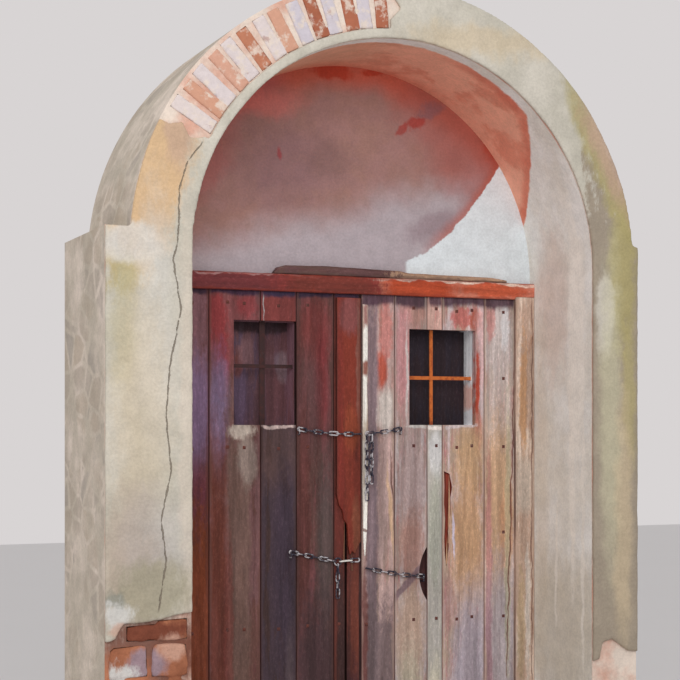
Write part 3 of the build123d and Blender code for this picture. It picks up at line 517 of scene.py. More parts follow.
@dataclass(frozen=True)
class Reveal(Plaster):
    """Masonry body: limewashed reveal, soffit in painted shadow, mortar in front and rough stone outside.
    """

    spring: float = SPRING
    radius: float = OPENING_RADIUS
    front: float = MASONRY_FRONT
    across_patches: tuple[Patch, ...] = ()

    def build(self) -> bpy.types.Material:
        """Make the material.

        Returns:
            The material.
        """
        graph = Graph(self.name)
        cloud = graph.noise(graph.point, 5.0, 5.0, 0.6)
        colour = graph.mix(self.base, self.light, cloud.rise(0.36, 0.64))
        colour = cover(graph, colour, self.across_patches, 0.05, 26.0, graph.y)
        colour = self.shaded_soffit(graph, colour, cloud)
        hidden = self.outer_mask(graph).higher_of(self.back(graph))
        colour = graph.mix(colour, self.outside(graph, cloud), hidden)
        mortar = graph.mix(BRICK_PINK, PALE_LIME, cloud.rise(0.35, 0.6))
        mortar = cover(graph, mortar, self.patches, 0.03, 40.0)
        colour = graph.mix(colour, mortar, graph.y.fall(self.front + 0.002, self.front + 0.006))
        return self.face(graph, colour)

    def shaded_soffit(self, graph: Graph, colour: Field, cloud: Field) -> Field:
        """Paint the soffit's shadow orange, behind a line that runs down the right haunch to the panel.

        Args:
            graph: the material's nodes.
            colour: colour of the reveal.
            cloud: slow noise.

        Returns:
            The colour with the painted shadow.
        """
        angle = graph.maths("ARCTAN2", graph.z - self.spring, graph.x)
        ragged = (graph.noise(graph.point, 14.0, 5.0, 0.7) - 0.5) * 0.05
        front_line = (-0.085 - (angle - 0.375) * 0.795).higher_of(-0.435)
        behind = graph.y - front_line + ragged
        # Painted shadow on the soffit: orange, redder along its edge and deeper in, paler near the crown.
        tint = graph.mix(SOFFIT_ORANGE, SOFFIT_RED, cloud.rise(0.5, 0.62) * 0.5)
        rim = behind.fall(0.03, 0.09) * angle.fall(1.1, 1.4)
        tint = graph.mix(tint, paint(212, 108, 84), rim * 0.6)
        tint = graph.mix(tint, paint(222, 168, 140), angle.rise(1.35, 1.75) * 0.8)
        deep = graph.y.rise(-0.14, 0.0) * angle.rise(0.9, 1.2)
        tint = graph.mix(tint, SOFFIT_RED, deep * 0.5)
        over = graph.z.rise(self.spring + 0.18, self.spring + 0.26) * graph.y.fall(0.0, 0.02)
        return graph.mix(colour, tint, behind.rise(-0.006, 0.012) * over)

    def outer_mask(self, graph: Graph) -> Field:
        """Faces that are hidden in use: the outside of the ring and of the piers.

        Args:
            graph: the material's nodes.

        Returns:
            1 on the hidden faces and 0 elsewhere.
        """
        up = graph.z - self.spring
        away = (graph.x * graph.x + up * up) ** 0.5
        reach = (self.radius + 0.05, self.radius + 0.08)
        ring = away.rise(*reach) * graph.z.rise(self.spring, self.spring + 0.01)
        return ring.higher_of(graph.x.size().rise(*reach))

    def outside(self, graph: Graph, cloud: Field) -> Field:
        """Rough mortar and stones of the hidden faces.

        Args:
            graph: the material's nodes.
            cloud: slow noise.

        Returns:
            The colour.
        """
        inputs = {"Vector": graph.placed((1.0, 1.0, 1.35)), "Scale": 7.0}
        cell = graph.made("ShaderNodeTexVoronoi", {"feature": "DISTANCE_TO_EDGE"}, inputs)
        own = graph.made("ShaderNodeTexVoronoi", {}, inputs, "Color")
        stone = graph.mix(GREY_STONE, SAND_STONE, graph.made("ShaderNodeSeparateXYZ", {}, {0: own}))
        fray = (graph.noise(graph.point, 24.0, 5.0, 0.75) - 0.5) * 0.16
        bare = graph.noise(graph.placed(shift=(2.0, 6.0, 3.0)), 3.4, 4.0, 0.65)
        shown = (cell + fray).rise(0.03, 0.12) * bare.rise(0.40, 0.58) * 0.6
        return graph.mix(graph.mix(MORTAR, PALE_LIME, cloud.rise(0.4, 0.7)), stone, shown)


@dataclass(frozen=True)
class StainedPanel(Plaster):
    """Half-round panel: crimson and rust rim, mauve painted shade, and painted sunlight low on the right.
    """

    spring: float = SPRING

    def build(self) -> bpy.types.Material:
        """Make the material.

        Returns:
            The material.
        """
        graph = Graph(self.name)
        up = graph.z - self.spring
        away = (graph.x * graph.x + up * up) ** 0.5
        angle = graph.maths("ARCTAN2", up, graph.x)
        slow = graph.noise(graph.placed(shift=(4.0, 1.0, 2.0)), 2.6, 4.0, 0.6) - 0.5
        cloud = graph.noise(graph.placed((1.0, 1.0, 1.2)), 6.0, 5.0, 0.62)
        colour = graph.mix(self.base, paint(162, 124, 112), cloud.rise(0.40, 0.62) * 0.6)
        low = (graph.z + slow * 0.30 - graph.x * 0.32).fall(2.38, 2.60)
        colour = graph.mix(colour, self.light, low * 0.9)
        right_stain = (graph.x * 0.7 + up * 0.5 + slow * 0.35).rise(0.44, 0.62)
        colour = graph.mix(colour, paint(168, 102, 94), right_stain * 0.8)
        rim = (away + slow * 0.14).rise(0.72, 0.83)
        side_rim = graph.mix(paint(176, 92, 78), paint(208, 98, 72), angle.rise(1.15, 1.4))
        rim_colour = graph.mix(side_rim, CRIMSON_RIM, angle.rise(1.85, 2.05))
        colour = graph.mix(colour, rim_colour, rim * angle.rise(0.35, 0.6) * 0.8)
        colour = cover(graph, colour, self.patches, 0.05, 30.0)
        plain = graph.mix(MORTAR, SAND_STONE, cloud)
        return self.face(graph, graph.mix(self.painted_sunlight(graph, colour), plain, self.back(graph)))

    def painted_sunlight(self, graph: Graph, colour: Field) -> Field:
        """Paint the patch of sunlight in white, low on the right, under a line that climbs to the haunch.

        Args:
            graph: the material's nodes.
            colour: colour of the stained part.

        Returns:
            The colour with the painted sunlight.
        """
        ragged = (graph.noise(graph.point, 16.0, 5.0, 0.7) - 0.5) * 0.05
        sag = (1 - ((graph.x - 0.46) / 0.24) ** 2.0).higher_of(0.0) * 0.075
        line = (graph.x - 0.235) * 0.92 + 2.29 - sag
        under = line - graph.z + ragged
        rim = under.rise(-0.07, -0.005) * graph.x.rise(0.3, 0.45)
        colour = graph.mix(colour, paint(182, 92, 74), rim * 0.6)
        foot = graph.x.rise(0.245, 0.262)
        # Painted sunlight: white below the line.
        return graph.mix(colour, PAINTED_SUNLIGHT_WHITE, under.rise(-0.004, 0.006) * foot)


@dataclass(frozen=True)
class Brickwork:
    """Old arch bricks, by turns brown-orange and pale, with lime smeared over them."""

    name: str
    pitch_degrees: float
    first_degrees: float
    centre_z: float

    def build(self) -> bpy.types.Material:
        """Make the material.

        Returns:
            The material.
        """
        graph = Graph(self.name)
        angle = graph.maths("ARCTAN2", graph.z - self.centre_z, graph.x)
        count = ((angle - math.radians(self.first_degrees)) / math.radians(self.pitch_degrees)).whole()
        seat = graph.made("ShaderNodeCombineXYZ", {}, {0: count, 1: 0.0, 2: 4.0})
        own = graph.made("ShaderNodeTexWhiteNoise", {"noise_dimensions": "3D"}, {0: seat})
        stops = [(0.0, BRICK_BROWN), (0.35, BRICK_RED), (0.7, BRICK_ORANGE), (1.0, BRICK_PINK)]
        warm = graph.made("ShaderNodeValToRGB", {"stops": stops}, {0: own})
        pale = graph.mix(PALE_BRICK, LILAC_BRICK, own)
        turn = graph.maths("MODULO", count + 40.0, 2.0)
        colour = graph.mix(warm, pale, turn.rise(0.4, 0.6))
        lime = graph.noise(graph.point, 16.0, 5.0, 0.7)
        colour = graph.mix(colour, PALE_LIME, lime.rise(0.49, 0.62) * 0.8)
        tint = graph.noise(graph.placed(shift=(9.0, 2.0, 4.0)), 11.0, 5.0, 0.7)
        colour = graph.mix(colour, MADDER, tint.rise(0.60, 0.68) * 0.45)
        fine = graph.noise(graph.point, 60.0, 4.0, 0.7)
        colour = colour * (0.82 + fine * 0.36)
        return graph.finish(colour, 0.9, lime * 0.6 + fine * 0.4, 0.006, Specular_IOR_Level=0.2)


@dataclass(frozen=True)
class OldPaintedWood:
    """A board with remains of paint: bare grain shows through in upright streaks."""

    name: str
    bare: Colour
    paint_colour: Colour
    under: Colour
    coverage: float = 0.5
    patches: tuple[Patch, ...] = ()
    upright: bool = True
    seed: float = 0.0
    wander: float = 0.03
    streaks: float = 0.5
    relief: float = 0.0022
    seam: Colour = paint(80, 36, 36)
    worn: float = 0.5
    # Multiplier on the whole colour: grime, and on the shaded leaf's boards painted shade.
    grime: Colour = (1.0, 1.0, 1.0)
    cut: Colour | None = None
    cut_top: float = 9.0
    front: float = -0.022
    flecks: float = 0.42
    behind: float | None = None

    def build(self, low: Vector, high: Vector) -> bpy.types.Material:
        """Make the material.

        Args:
            low: lowest corner of the board.
            high: highest corner of the board.

        Returns:
            The material.
        """
        graph = Graph(self.name)
        long_way = (1.0, 1.0, 0.06) if self.upright else (0.06, 1.0, 1.0)
        shift = (self.seed, self.seed * 0.7, self.seed * 1.3)
        bend = graph.noise(graph.placed(shift=shift), 2.3) - 0.5
        grain_at = graph.placed(long_way, shift) + bend * 0.035
        grain = graph.noise(grain_at, 150.0, 4.0, 0.65)
        bands = graph.noise(grain_at, 34.0, 3.0, 0.6)
        worn = graph.noise(graph.placed((1.0, 1.0, 0.25), shift), 14.0, 5.0, 0.68)
        edge = 1.0 - self.coverage
        left = (worn * 0.6 + bands * 0.4).rise(edge * 0.5 + 0.22, edge * 0.5 + 0.30)
        thin = (worn * 0.5 + grain * 0.5).rise(edge * 0.5 + 0.20, edge * 0.5 + 0.34)
        colour = graph.mix(self.bare, self.under, thin)
        colour = graph.mix(colour, self.paint_colour, left)
        colour = cover(graph, colour, self.patches, self.wander, 60.0)
        chip_scale = (1.0, 1.0, 0.45) if self.upright else (0.45, 1.0, 1.0)
        chips = graph.noise(graph.placed(chip_scale, shift), 120.0, 4.0, 0.78)
        colour = graph.mix(colour, colour * 1.55 + 0.02, chips.rise(0.54, 0.62) * self.flecks)
        colour = graph.mix(colour, colour * 0.62, chips.fall(0.38, 0.46) * self.flecks)
        along, first, last = (graph.x, low.x, high.x) if self.upright else (graph.z, low.z, high.z)
        inward = (along - first).lower_of(last - along)
        rubbed = (inward + (worn - 0.5) * 0.05).fall(0.004, 0.012) * self.worn
        colour = graph.mix(colour, self.bare, rubbed)
        # Dark lines along the board's edges: dirt and painted shade in the gaps between boards.
        seam = inward.fall(0.0006, 0.0032) * (0.20 + worn.rise(0.40, 0.60) * 0.5)
        colour = graph.mix(colour, self.seam, seam)
        # Faces set back from the front (board sides, cuts, the gash): bare wood, darkened as painted shade
        # in the hollows.
        if self.cut is not None:
            deep = graph.y.rise(self.front + 0.002, self.front + 0.0045)
            deep = deep * graph.y.fall(PLANK_BACK - 0.002, PLANK_BACK)
            deep = deep * graph.z.fall(self.cut_top, self.cut_top + 0.01)
            torn = graph.mix(self.cut, tuple(1.7 * part for part in self.cut), grain.rise(0.50, 0.62))
            colour = graph.mix(colour, torn, deep)
        if self.behind is not None:
            bare = graph.mix(paint(84, 64, 54), paint(112, 88, 72), grain.rise(0.40, 0.60))
            colour = graph.mix(colour, bare, graph.y.rise(self.behind - 0.001, self.behind))
        shade = bands.rise(0.25, 0.75) * self.streaks + (1 - self.streaks * 0.5)
        # Darkening by grain bands, grime and painted shade.
        colour = colour * (shade * (0.86 + grain * 0.28)) * self.grime
        height = grain * 0.35 + bands * 0.25 + left * 0.40
        rough = 0.78 - left * 0.16
        return graph.finish(colour, rough, height, self.relief, Specular_IOR_Level=0.3)


def painted(
    name: str, bare: Colour, coat: Colour, under: Colour, coverage: float, *patches: Patch, **more: Any
) -> OldPaintedWood:
    """Old painted wood, with any number of patches after its colours and coverage."""
    return OldPaintedWood(name, bare, coat, under, coverage, patches, **more)


@dataclass(frozen=True)
class OldIron:
    """Forged iron: rust, dark scale and rubbed high spots."""

    name: str
    dark: Colour
    rust: Colour
    bright: Colour
    rust_share: float
    bright_share: float
    scale: float = 60.0
    metal: float = 0.6

    def build(self) -> bpy.types.Material:
        """Make the material.

        Returns:
            The material.
        """
        graph = Graph(self.name)
        blotch = graph.noise(graph.placed(), self.scale, 4.0, 0.7)
        other = graph.noise(graph.placed(shift=(2.0, 5.0, 1.0)), self.scale * 0.6, 4.0, 0.6)
        rust_at, bright_at = self.level(self.rust_share), self.level(self.bright_share)
        colour = graph.mix(self.dark, self.rust, blotch.rise(rust_at - 0.08, rust_at + 0.08))
        rubbed = other.rise(bright_at - 0.05, bright_at + 0.05)
        colour = graph.mix(colour, self.bright, rubbed)
        return graph.finish(colour, 0.75 - rubbed * 0.3, blotch, 0.0012, Metallic=self.metal)

    @staticmethod
    def level(share: float) -> float:
        """Value that about this share of a noise lies above."""
        return 0.72 - 0.44 * share


# Weathered solids


@dataclass(frozen=True)
class Weathering:
    """How far a solid's faces are rounded and thrown out of true."""

    grain: float
    swells: tuple[tuple[float, float], ...]
    smooth: int = 2


@dataclass
class WornCopy:
    """A weathered piece in the place of one or more nodes, made from their meshes."""

    name: str
    nodes: tuple[str, ...]
    body: str
    slot: str
    weathering: Weathering
    swell: float = 0.0015

    def build(self, material: bpy.types.Material) -> bpy.types.Object:
        """Join the nodes' meshes into one closed solid, round it and push its faces about.

        Args:
            material: the piece's finish.

        Returns:
            The new piece, which replaces the nodes.
        """
        copies = [self.closed_copy(node) for node in self.nodes]
        bpy.ops.object.select_all(action="DESELECT")
        for copy in copies:
            copy.select_set(True)
        piece = copies[0]
        bpy.context.view_layer.objects.active = piece
        if len(copies) > 1:
            bpy.ops.object.join()
        self.weather(piece)
        piece.data.materials.clear()
        piece.data.materials.append(material)
        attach(piece, self.body)
        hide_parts(*self.nodes)
        log.info("%s: %d faces", self.name, len(piece.data.polygons))
        return piece

    def closed_copy(self, node: str) -> bpy.types.Object:
        """Copy a node's mesh and merge its faces; where nodes are joined, swell it so that they meet.

        Args:
            node: the node.

        Returns:
            The copy.
        """
        copy = bpy.data.objects.new(self.name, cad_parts[node].data.copy())
        bpy.context.collection.objects.link(copy)
        bpy.ops.object.select_all(action="DESELECT")
        copy.select_set(True)
        bpy.context.view_layer.objects.active = copy
        bpy.ops.object.mode_set(mode="EDIT")
        bpy.ops.mesh.select_all(action="SELECT")
        bpy.ops.mesh.remove_doubles(threshold=1e-5)
        bpy.ops.mesh.normals_make_consistent(inside=False)
        bpy.ops.object.mode_set(mode="OBJECT")
        if len(self.nodes) > 1:
            swell = copy.modifiers.new("swell", "DISPLACE")
            swell.strength = self.swell
            swell.mid_level = 0.0
            bpy.ops.object.modifier_apply(modifier="swell")
        return copy

    def weather(self, piece: bpy.types.Object) -> None:
        """Remesh the piece, relax it and push its faces by slow and fine clouds.

        Args:
            piece: the piece, active and selected.
        """
        remesh = piece.modifiers.new("remesh", "REMESH")
        remesh.mode = "VOXEL"
        remesh.voxel_size = self.weathering.grain
        relax = piece.modifiers.new("relax", "SMOOTH")
        relax.iterations = self.weathering.smooth
        for number, (size, reach) in enumerate(self.weathering.swells):
            texture = bpy.data.textures.new(f"{self.name}_{number}", "CLOUDS")
            texture.noise_scale = size
            texture.noise_depth = 3
            push = piece.modifiers.new(f"push_{number}", "DISPLACE")
            push.texture = texture
            push.strength = reach
            push.mid_level = 0.5
        for modifier in list(piece.modifiers):
            bpy.ops.object.modifier_apply(modifier=modifier.name)
        bpy.ops.object.shade_smooth()


def mark(piece: bpy.types.Object, name: str, values: list[float]) -> None:
    """Store one number for each point of a piece, which its material reads by name."""
    attribute = piece.data.attributes.new(name, "FLOAT", "POINT")
    attribute.data.foreach_set("value", values)


# Surround


CRACK_LINE = (
    (-0.805, 2.635), (-0.872, 2.545), (-0.900, 2.448), (-0.904, 2.267), (-0.923, 2.194), (-0.893, 2.015),
    (-0.938, 1.798), (-0.949, 1.618), (-0.930, 1.438), (-0.968, 1.259), (-0.949, 1.115), (-0.979, 0.920),
)


@dataclass
class Masonry:
    """Piers, arch ring, half-round panel, bricks, stones and the plaster coat."""

    body: str = "surround"
    spring: float = SPRING
    coats: tuple[str, ...] = ("arch_plaster", "left_jamb_plaster", "right_jamb_plaster")
    coat: Weathering = Weathering(0.0068, ((0.16, 0.006), (0.03, 0.003)), 1)
    brick: Weathering = Weathering(0.005, ((0.05, 0.007), (0.015, 0.002)))
    rubble: Weathering = Weathering(0.007, ((0.12, 0.022), (0.03, 0.005)))
    brick_arc_degrees: float = 58.0
    brick_count: int = 14
    first_brick_degrees: float = 93.5

    def build(self) -> None:
        """Make the weathered pieces and dress them and the nodes."""
        self.dress_bodies()
        pitch = self.brick_arc_degrees / self.brick_count
        bricks = Brickwork("arch_brick", pitch, self.first_brick_degrees, self.spring)
        coat = self.worn("worn_coat", self.coats, "plaster", self.coat, self.coat_finish())
        mark(coat, "edge", [max(0.0, 1.0 + vertex.normal.y) for vertex in coat.data.vertices])
        self.worn("worn_arch_bricks", ("arch_bricks",), "brick", self.brick, bricks)
        self.worn("worn_jamb_stones", ("left_jamb_stones",), "rubble", self.rubble, self.stone_finish())

    def worn(
        self, name: str, nodes: tuple[str, ...], slot: str, wear: Weathering, finish: Plaster | Brickwork
    ) -> bpy.types.Object:
        """Make one weathered piece of the masonry in the place of its nodes."""
        return WornCopy(name, nodes, self.body, slot, wear).build(finish.build())

    def coat_finish(self) -> CrackedPlaster:
        """Cream limewash with ochre, olive, grey and white stains.

        Returns:
            The finish.
        """
        return CrackedPlaster(
            "cream_plaster",
            CREAM,
            PALE_CREAM,
            (
                band(0.97, 1.20, 0.16, 1.50, paint(157, 143, 126), 0.92, 0.12),
                Patch(-1.00, 2.50, 0.13, 0.36, OCHRE, 0.9, 0.3, 0.25),
                Patch(-0.87, 1.40, 0.03, 0.95, paint(214, 200, 184), 0.6, 0.5),
                Patch(-0.90, 2.66, 0.05, 0.12, PINK_STONE, 0.7),
                Patch(-1.11, 2.13, 0.055, 0.08, OLIVE, 0.7, 0.6, ragged=0.9),
                Patch(-1.10, 1.93, 0.05, 0.18, paint(186, 180, 146), 0.5, 0.7),
                Patch(-1.08, 1.10, 0.10, 0.24, paint(180, 156, 132), 0.7, 0.6),
                Patch(-1.08, 2.24, 0.10, 0.07, CHALK, 0.7),
                Patch(-0.99, 1.95, 0.06, 0.42, CHALK, 0.5, 0.6),
                Patch(-1.04, 1.62, 0.10, 0.50, WARM_SAND, 0.45, 0.6),
                Patch(-1.02, 1.16, 0.12, 0.20, GREY_LILAC, 0.5, 0.6),
                Patch(-1.00, 1.00, 0.14, 0.12, GREY_GREEN, 0.85, 0.4),
                Patch(-1.13, 0.99, 0.035, 0.04, paint(142, 142, 132), 0.8),
                Patch(-1.12, 0.93, 0.05, 0.05, CHALK, 0.8, 0.5, ragged=1.2),
                Patch(-1.12, 0.87, 0.04, 0.03, paint(204, 164, 144), 0.7),
                Patch(0.89, 2.65, 0.05, 0.40, OLIVE, 0.85, 0.5, -0.45),
                Patch(0.96, 2.62, 0.07, 0.30, PINK_STONE, 0.8, 0.4, -0.5),
                Patch(0.98, 2.20, 0.06, 0.30, OLIVE, 0.85, 0.4),
                Patch(0.90, 2.05, 0.04, 0.16, PALE_CREAM, 0.8),
                Patch(0.93, 1.65, 0.05, 0.60, paint(202, 196, 166), 0.6, 0.5),
                Patch(1.02, 1.75, 0.03, 0.30, OLIVE, 0.7, 0.5),
                Patch(0.99, 1.20, 0.04, 0.50, WARM_SAND, 0.6, 0.5),
                Patch(0.35, 3.10, 0.30, 0.06, WARM_SAND, 0.6, 0.5),
            ),
            crack=CRACK_LINE,
        )

    def stone_finish(self) -> Plaster:
        """Brown and orange rubble with a purple-grey and a white stone.

        Returns:
            The finish.
        """
        return Plaster(
            "rubble_stone",
            paint(150, 92, 66),
            paint(190, 124, 92),
            (
                Patch(-1.02, 0.86, 0.16, 0.04, paint(118, 62, 46), 0.9, 0.3),
                Patch(-1.02, 0.74, 0.07, 0.06, paint(156, 136, 146), 0.9, 0.3),
                Patch(-0.93, 0.80, 0.05, 0.05, paint(208, 164, 144), 0.8, 0.3),
                Patch(-1.12, 0.70, 0.07, 0.05, CHALK, 0.9, 0.4, ragged=1.2),
                Patch(-0.93, 0.62, 0.07, 0.05, PINK_STONE, 0.9, 0.3),
                Patch(-1.03, 0.58, 0.06, 0.05, paint(120, 100, 118), 0.8, 0.3),
            ),
            0.010,
            0.03,
        )

    def dress_bodies(self) -> None:
        """Give the nodes that stay their finish."""
        sill = Plaster("sill_stone", paint(150, 142, 132), paint(172, 164, 152), (), 0.006)
        dress_nodes(("left_jamb", "right_jamb", "arch_ring"), self.reveal_finish().build())
        dress_nodes(("tympanum",), self.panel_finish().build())
        dress_nodes(("threshold",), sill.build())

    def reveal_finish(self) -> Reveal:
        """Limewash with light runs down the reveal, and brown and orange mortar in front.

        Returns:
            The finish.
        """
        return Reveal(
            "limewashed_reveal",
            paint(230, 225, 215),
            paint(240, 238, 233),
            (
                Patch(-1.00, 0.78, 0.22, 0.14, paint(112, 62, 46), 0.9, 0.4),
                Patch(-1.12, 0.66, 0.12, 0.12, paint(196, 124, 88), 0.8, 0.4),
            ),
            across_patches=(
                Patch(-0.20, 2.10, 0.12, 0.30, paint(218, 198, 186), 0.6, 0.5),
                Patch(-0.38, 1.95, 0.06, 0.55, LIMEWASH, 0.9, 0.3),
                Patch(-0.10, 1.20, 0.05, 0.80, paint(220, 206, 188), 0.4, 0.5),
                Patch(-0.30, 0.75, 0.30, 0.30, paint(206, 196, 178), 0.7, 0.5),
                Patch(-0.34, 1.45, 0.022, 0.50, LIMEWASH, 0.8, 0.4, 0.02, ragged=0.9),
                Patch(-0.43, 1.20, 0.012, 0.55, LIMEWASH, 0.7, 0.4, ragged=0.9),
                Patch(-0.22, 1.00, 0.010, 0.25, LIMEWASH, 0.7, 0.4, -0.02),
            ),
        )

    def panel_finish(self) -> StainedPanel:
        """Plaster in mauve painted shade, with plum and red touches.

        Returns:
            The finish.
        """
        return StainedPanel(
            "stained_panel",
            # Mauve ground: painted shadow of the arch on the plaster.
            paint(163, 125, 120),
            paint(183, 174, 180),
            (
                Patch(-0.30, 2.66, 0.20, 0.16, PLUM, 0.5, 0.7),
                Patch(-0.40, 2.90, 0.16, 0.055, paint(214, 124, 116), 0.7, 0.6, 1.3),
                Patch(-0.62, 2.62, 0.07, 0.14, CRIMSON_RIM, 0.4, 0.7, 0.5),
                Patch(-0.08, 3.055, 0.09, 0.030, BRIGHT_RED, 0.75, 0.3),
                Patch(0.10, 3.07, 0.05, 0.022, BRIGHT_RED, 0.75, 0.3),
                Patch(-0.10, 2.69, 0.10, 0.07, paint(128, 98, 94), 0.5, 0.7),
                Patch(0.37, 2.93, 0.045, 0.03, PLUM, 0.6, 0.6, 1.0, ragged=1.0),
                Patch(0.305, 2.875, 0.032, 0.034, paint(166, 62, 54), 0.8, 0.4, 1.0, ragged=1.1),
                Patch(0.235, 2.835, 0.022, 0.018, paint(162, 64, 58), 0.75, 0.5, 1.0, ragged=1.0),
                Patch(-0.315, 2.70, 0.010, 0.028, paint(156, 58, 64), 0.7, 0.5, ragged=1.0),
                Patch(0.64, 2.84, 0.05, 0.13, paint(168, 70, 54), 0.85, 0.4, -0.5),
                Patch(0.40, 2.44, 0.10, 0.08, PLUM, 0.45, 0.6, 1.0),
            ),
        )


def dress_nodes(names: tuple[str, ...], material: bpy.types.Material) -> None:
    """Give carried-over CAD nodes one material.

    Args:
        names: the nodes.
        material: their material.
    """
    for name in names:
        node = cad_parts[name]
        if not node.material_slots:
            node.data.materials.append(material)
        for slot in node.material_slots:
            slot.material = material
        log.info("%s: %s", name, material.name)


# Timber frame


@dataclass
class TimberFrame:
    """Posts, head beam and the loose board on the beam."""

    body: str = "surround"
    wear: Weathering = Weathering(0.005, ((0.20, 0.004), (0.035, 0.002)), 1)

    def dress(self) -> None:
        """Give every timber of the frame its finish."""
        shaded = OldPaintedWood("shaded_post", paint(96, 66, 54), CRIMSON, PLUM, 0.5, seed=5.0)
        dress_nodes(("right_post",), self.sunny_post().build(*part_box("right_post")))
        dress_nodes(("left_post",), shaded.build(*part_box("left_post")))
        worn = (("head_beam", "beam_wood", self.beam()), ("ledge_board", "board_wood", self.loose_board()))
        for node, slot, finish in worn:
            material = finish.build(*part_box(node))
            WornCopy(f"worn_{node}", (node,), self.body, slot, self.wear).build(material)

    def sunny_post(self) -> OldPaintedWood:
        """Bare wood with worn cream paint and ochre streaks.

        Returns:
            The finish.
        """
        return painted(
            "post_wood", paint(190, 162, 144), paint(212, 192, 176), paint(180, 140, 116), 0.45,
            Patch(0.795, 1.72, 0.018, 0.26, paint(198, 152, 112), 0.85, ragged=0.9),
            Patch(0.80, 1.34, 0.06, 0.12, paint(206, 192, 178), 0.7),
            Patch(0.785, 0.74, 0.020, 0.24, paint(176, 152, 122), 0.8, ragged=0.9),
            Patch(0.817, 0.80, 0.012, 0.28, paint(216, 206, 196), 0.75, ragged=0.9),
            band(0.838, 1.20, 0.003, 0.95, paint(104, 66, 54), 0.7, 0.4),
            seed=4.0,
        )

    def beam(self) -> OldPaintedWood:
        """Dark red on the left, bright red and rose on the right, with a painted highlight along the top.

        Returns:
            The finish.
        """
        return painted(
            "beam_wood", paint(150, 60, 44), paint(140, 52, 46), DARK_RED, 0.75,
            band(0.54, 2.18, 0.42, 0.10, paint(196, 116, 94), 1.0, 0.08),
            band(0.30, 2.18, 0.15, 0.10, paint(186, 72, 36), 0.95, 0.25),
            Patch(0.64, 2.175, 0.17, 0.030, paint(196, 88, 56), 0.95, 0.35),
            Patch(-0.10, 2.18, 0.20, 0.10, paint(112, 48, 36), 0.8, 0.3),
            # Painted highlight along the top edge.
            band(0.50, 2.208, 0.34, 0.007, paint(230, 212, 196), 0.85, 0.4),
            Patch(-0.60, 2.18, 0.26, 0.10, paint(108, 46, 50), 0.8, 0.4),
            # Fainter painted highlight along the top edge.
            band(-0.55, 2.207, 0.28, 0.004, paint(176, 134, 132), 0.7, 0.4),
            upright=False, seed=6.0, behind=0.06,
        )

    def loose_board(self) -> OldPaintedWood:
        """Grey-brown on the left and tan on the right.

        Returns:
            The finish.
        """
        return painted(
            "ledge_wood", paint(104, 82, 74), paint(92, 72, 70), paint(120, 92, 72), 0.6,
            band(-0.05, 2.22, 0.32, 0.06, paint(100, 66, 66), 0.85, 0.3),
            band(0.50, 2.22, 0.32, 0.06, paint(182, 146, 120), 1.0, 0.1),
            upright=False, seed=7.0,
        )


# Leaves


@dataclass
class Leaf(ABC):
    """Boards, window and edge piece of one leaf."""

    side: str
    edge_node: str
    edge_slot: str
    # Painted shadow of the head beam along the boards' tops.
    shade: Patch
    cut: Colour
    seam: Colour
    wear: Weathering = Weathering(0.0032, ((0.10, 0.003), (0.014, 0.0018)), 1)

    @abstractmethod
    def finishes(self) -> dict[str, OldPaintedWood]:
        """Finish of each wooden node of the leaf, by name."""

    def aged(self, name: str, finish: OldPaintedWood) -> OldPaintedWood:
        """Add the leaf's own seams, cuts and painted shadow under the beam to a board's finish.

        Args:
            name: the board's node.
            finish: its finish.

        Returns:
            The finish as it is used.
        """
        if "plank" not in name:
            return finish
        patches, cut = finish.patches + (self.shade,), finish.cut or self.cut
        return replace(finish, patches=patches, cut=cut, seam=self.seam, behind=PLANK_BACK)

    def dress(self) -> None:
        """Give every wooden node of the leaf its finish, and wear the edge piece."""
        inner = OldPaintedWood(
            f"{self.side}_inner_wood", paint(74, 58, 52), paint(60, 46, 48), paint(88, 66, 56), 0.5,
            seed=9.0, upright=False,
        )
        boards = tuple(f"{self.side}_ledge_{name}" for name in ("top", "upper", "lower", "bottom"))
        dress_nodes(boards, inner.build(*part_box(boards[0])))
        for name, finish in self.finishes().items():
            material = self.aged(name, finish).build(*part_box(name))
            if name != self.edge_node:
                dress_nodes((name,), material)
                continue
            piece = WornCopy(f"worn_{name}", (name,), f"{self.side}_leaf", self.edge_slot, self.wear)
            piece.build(material)


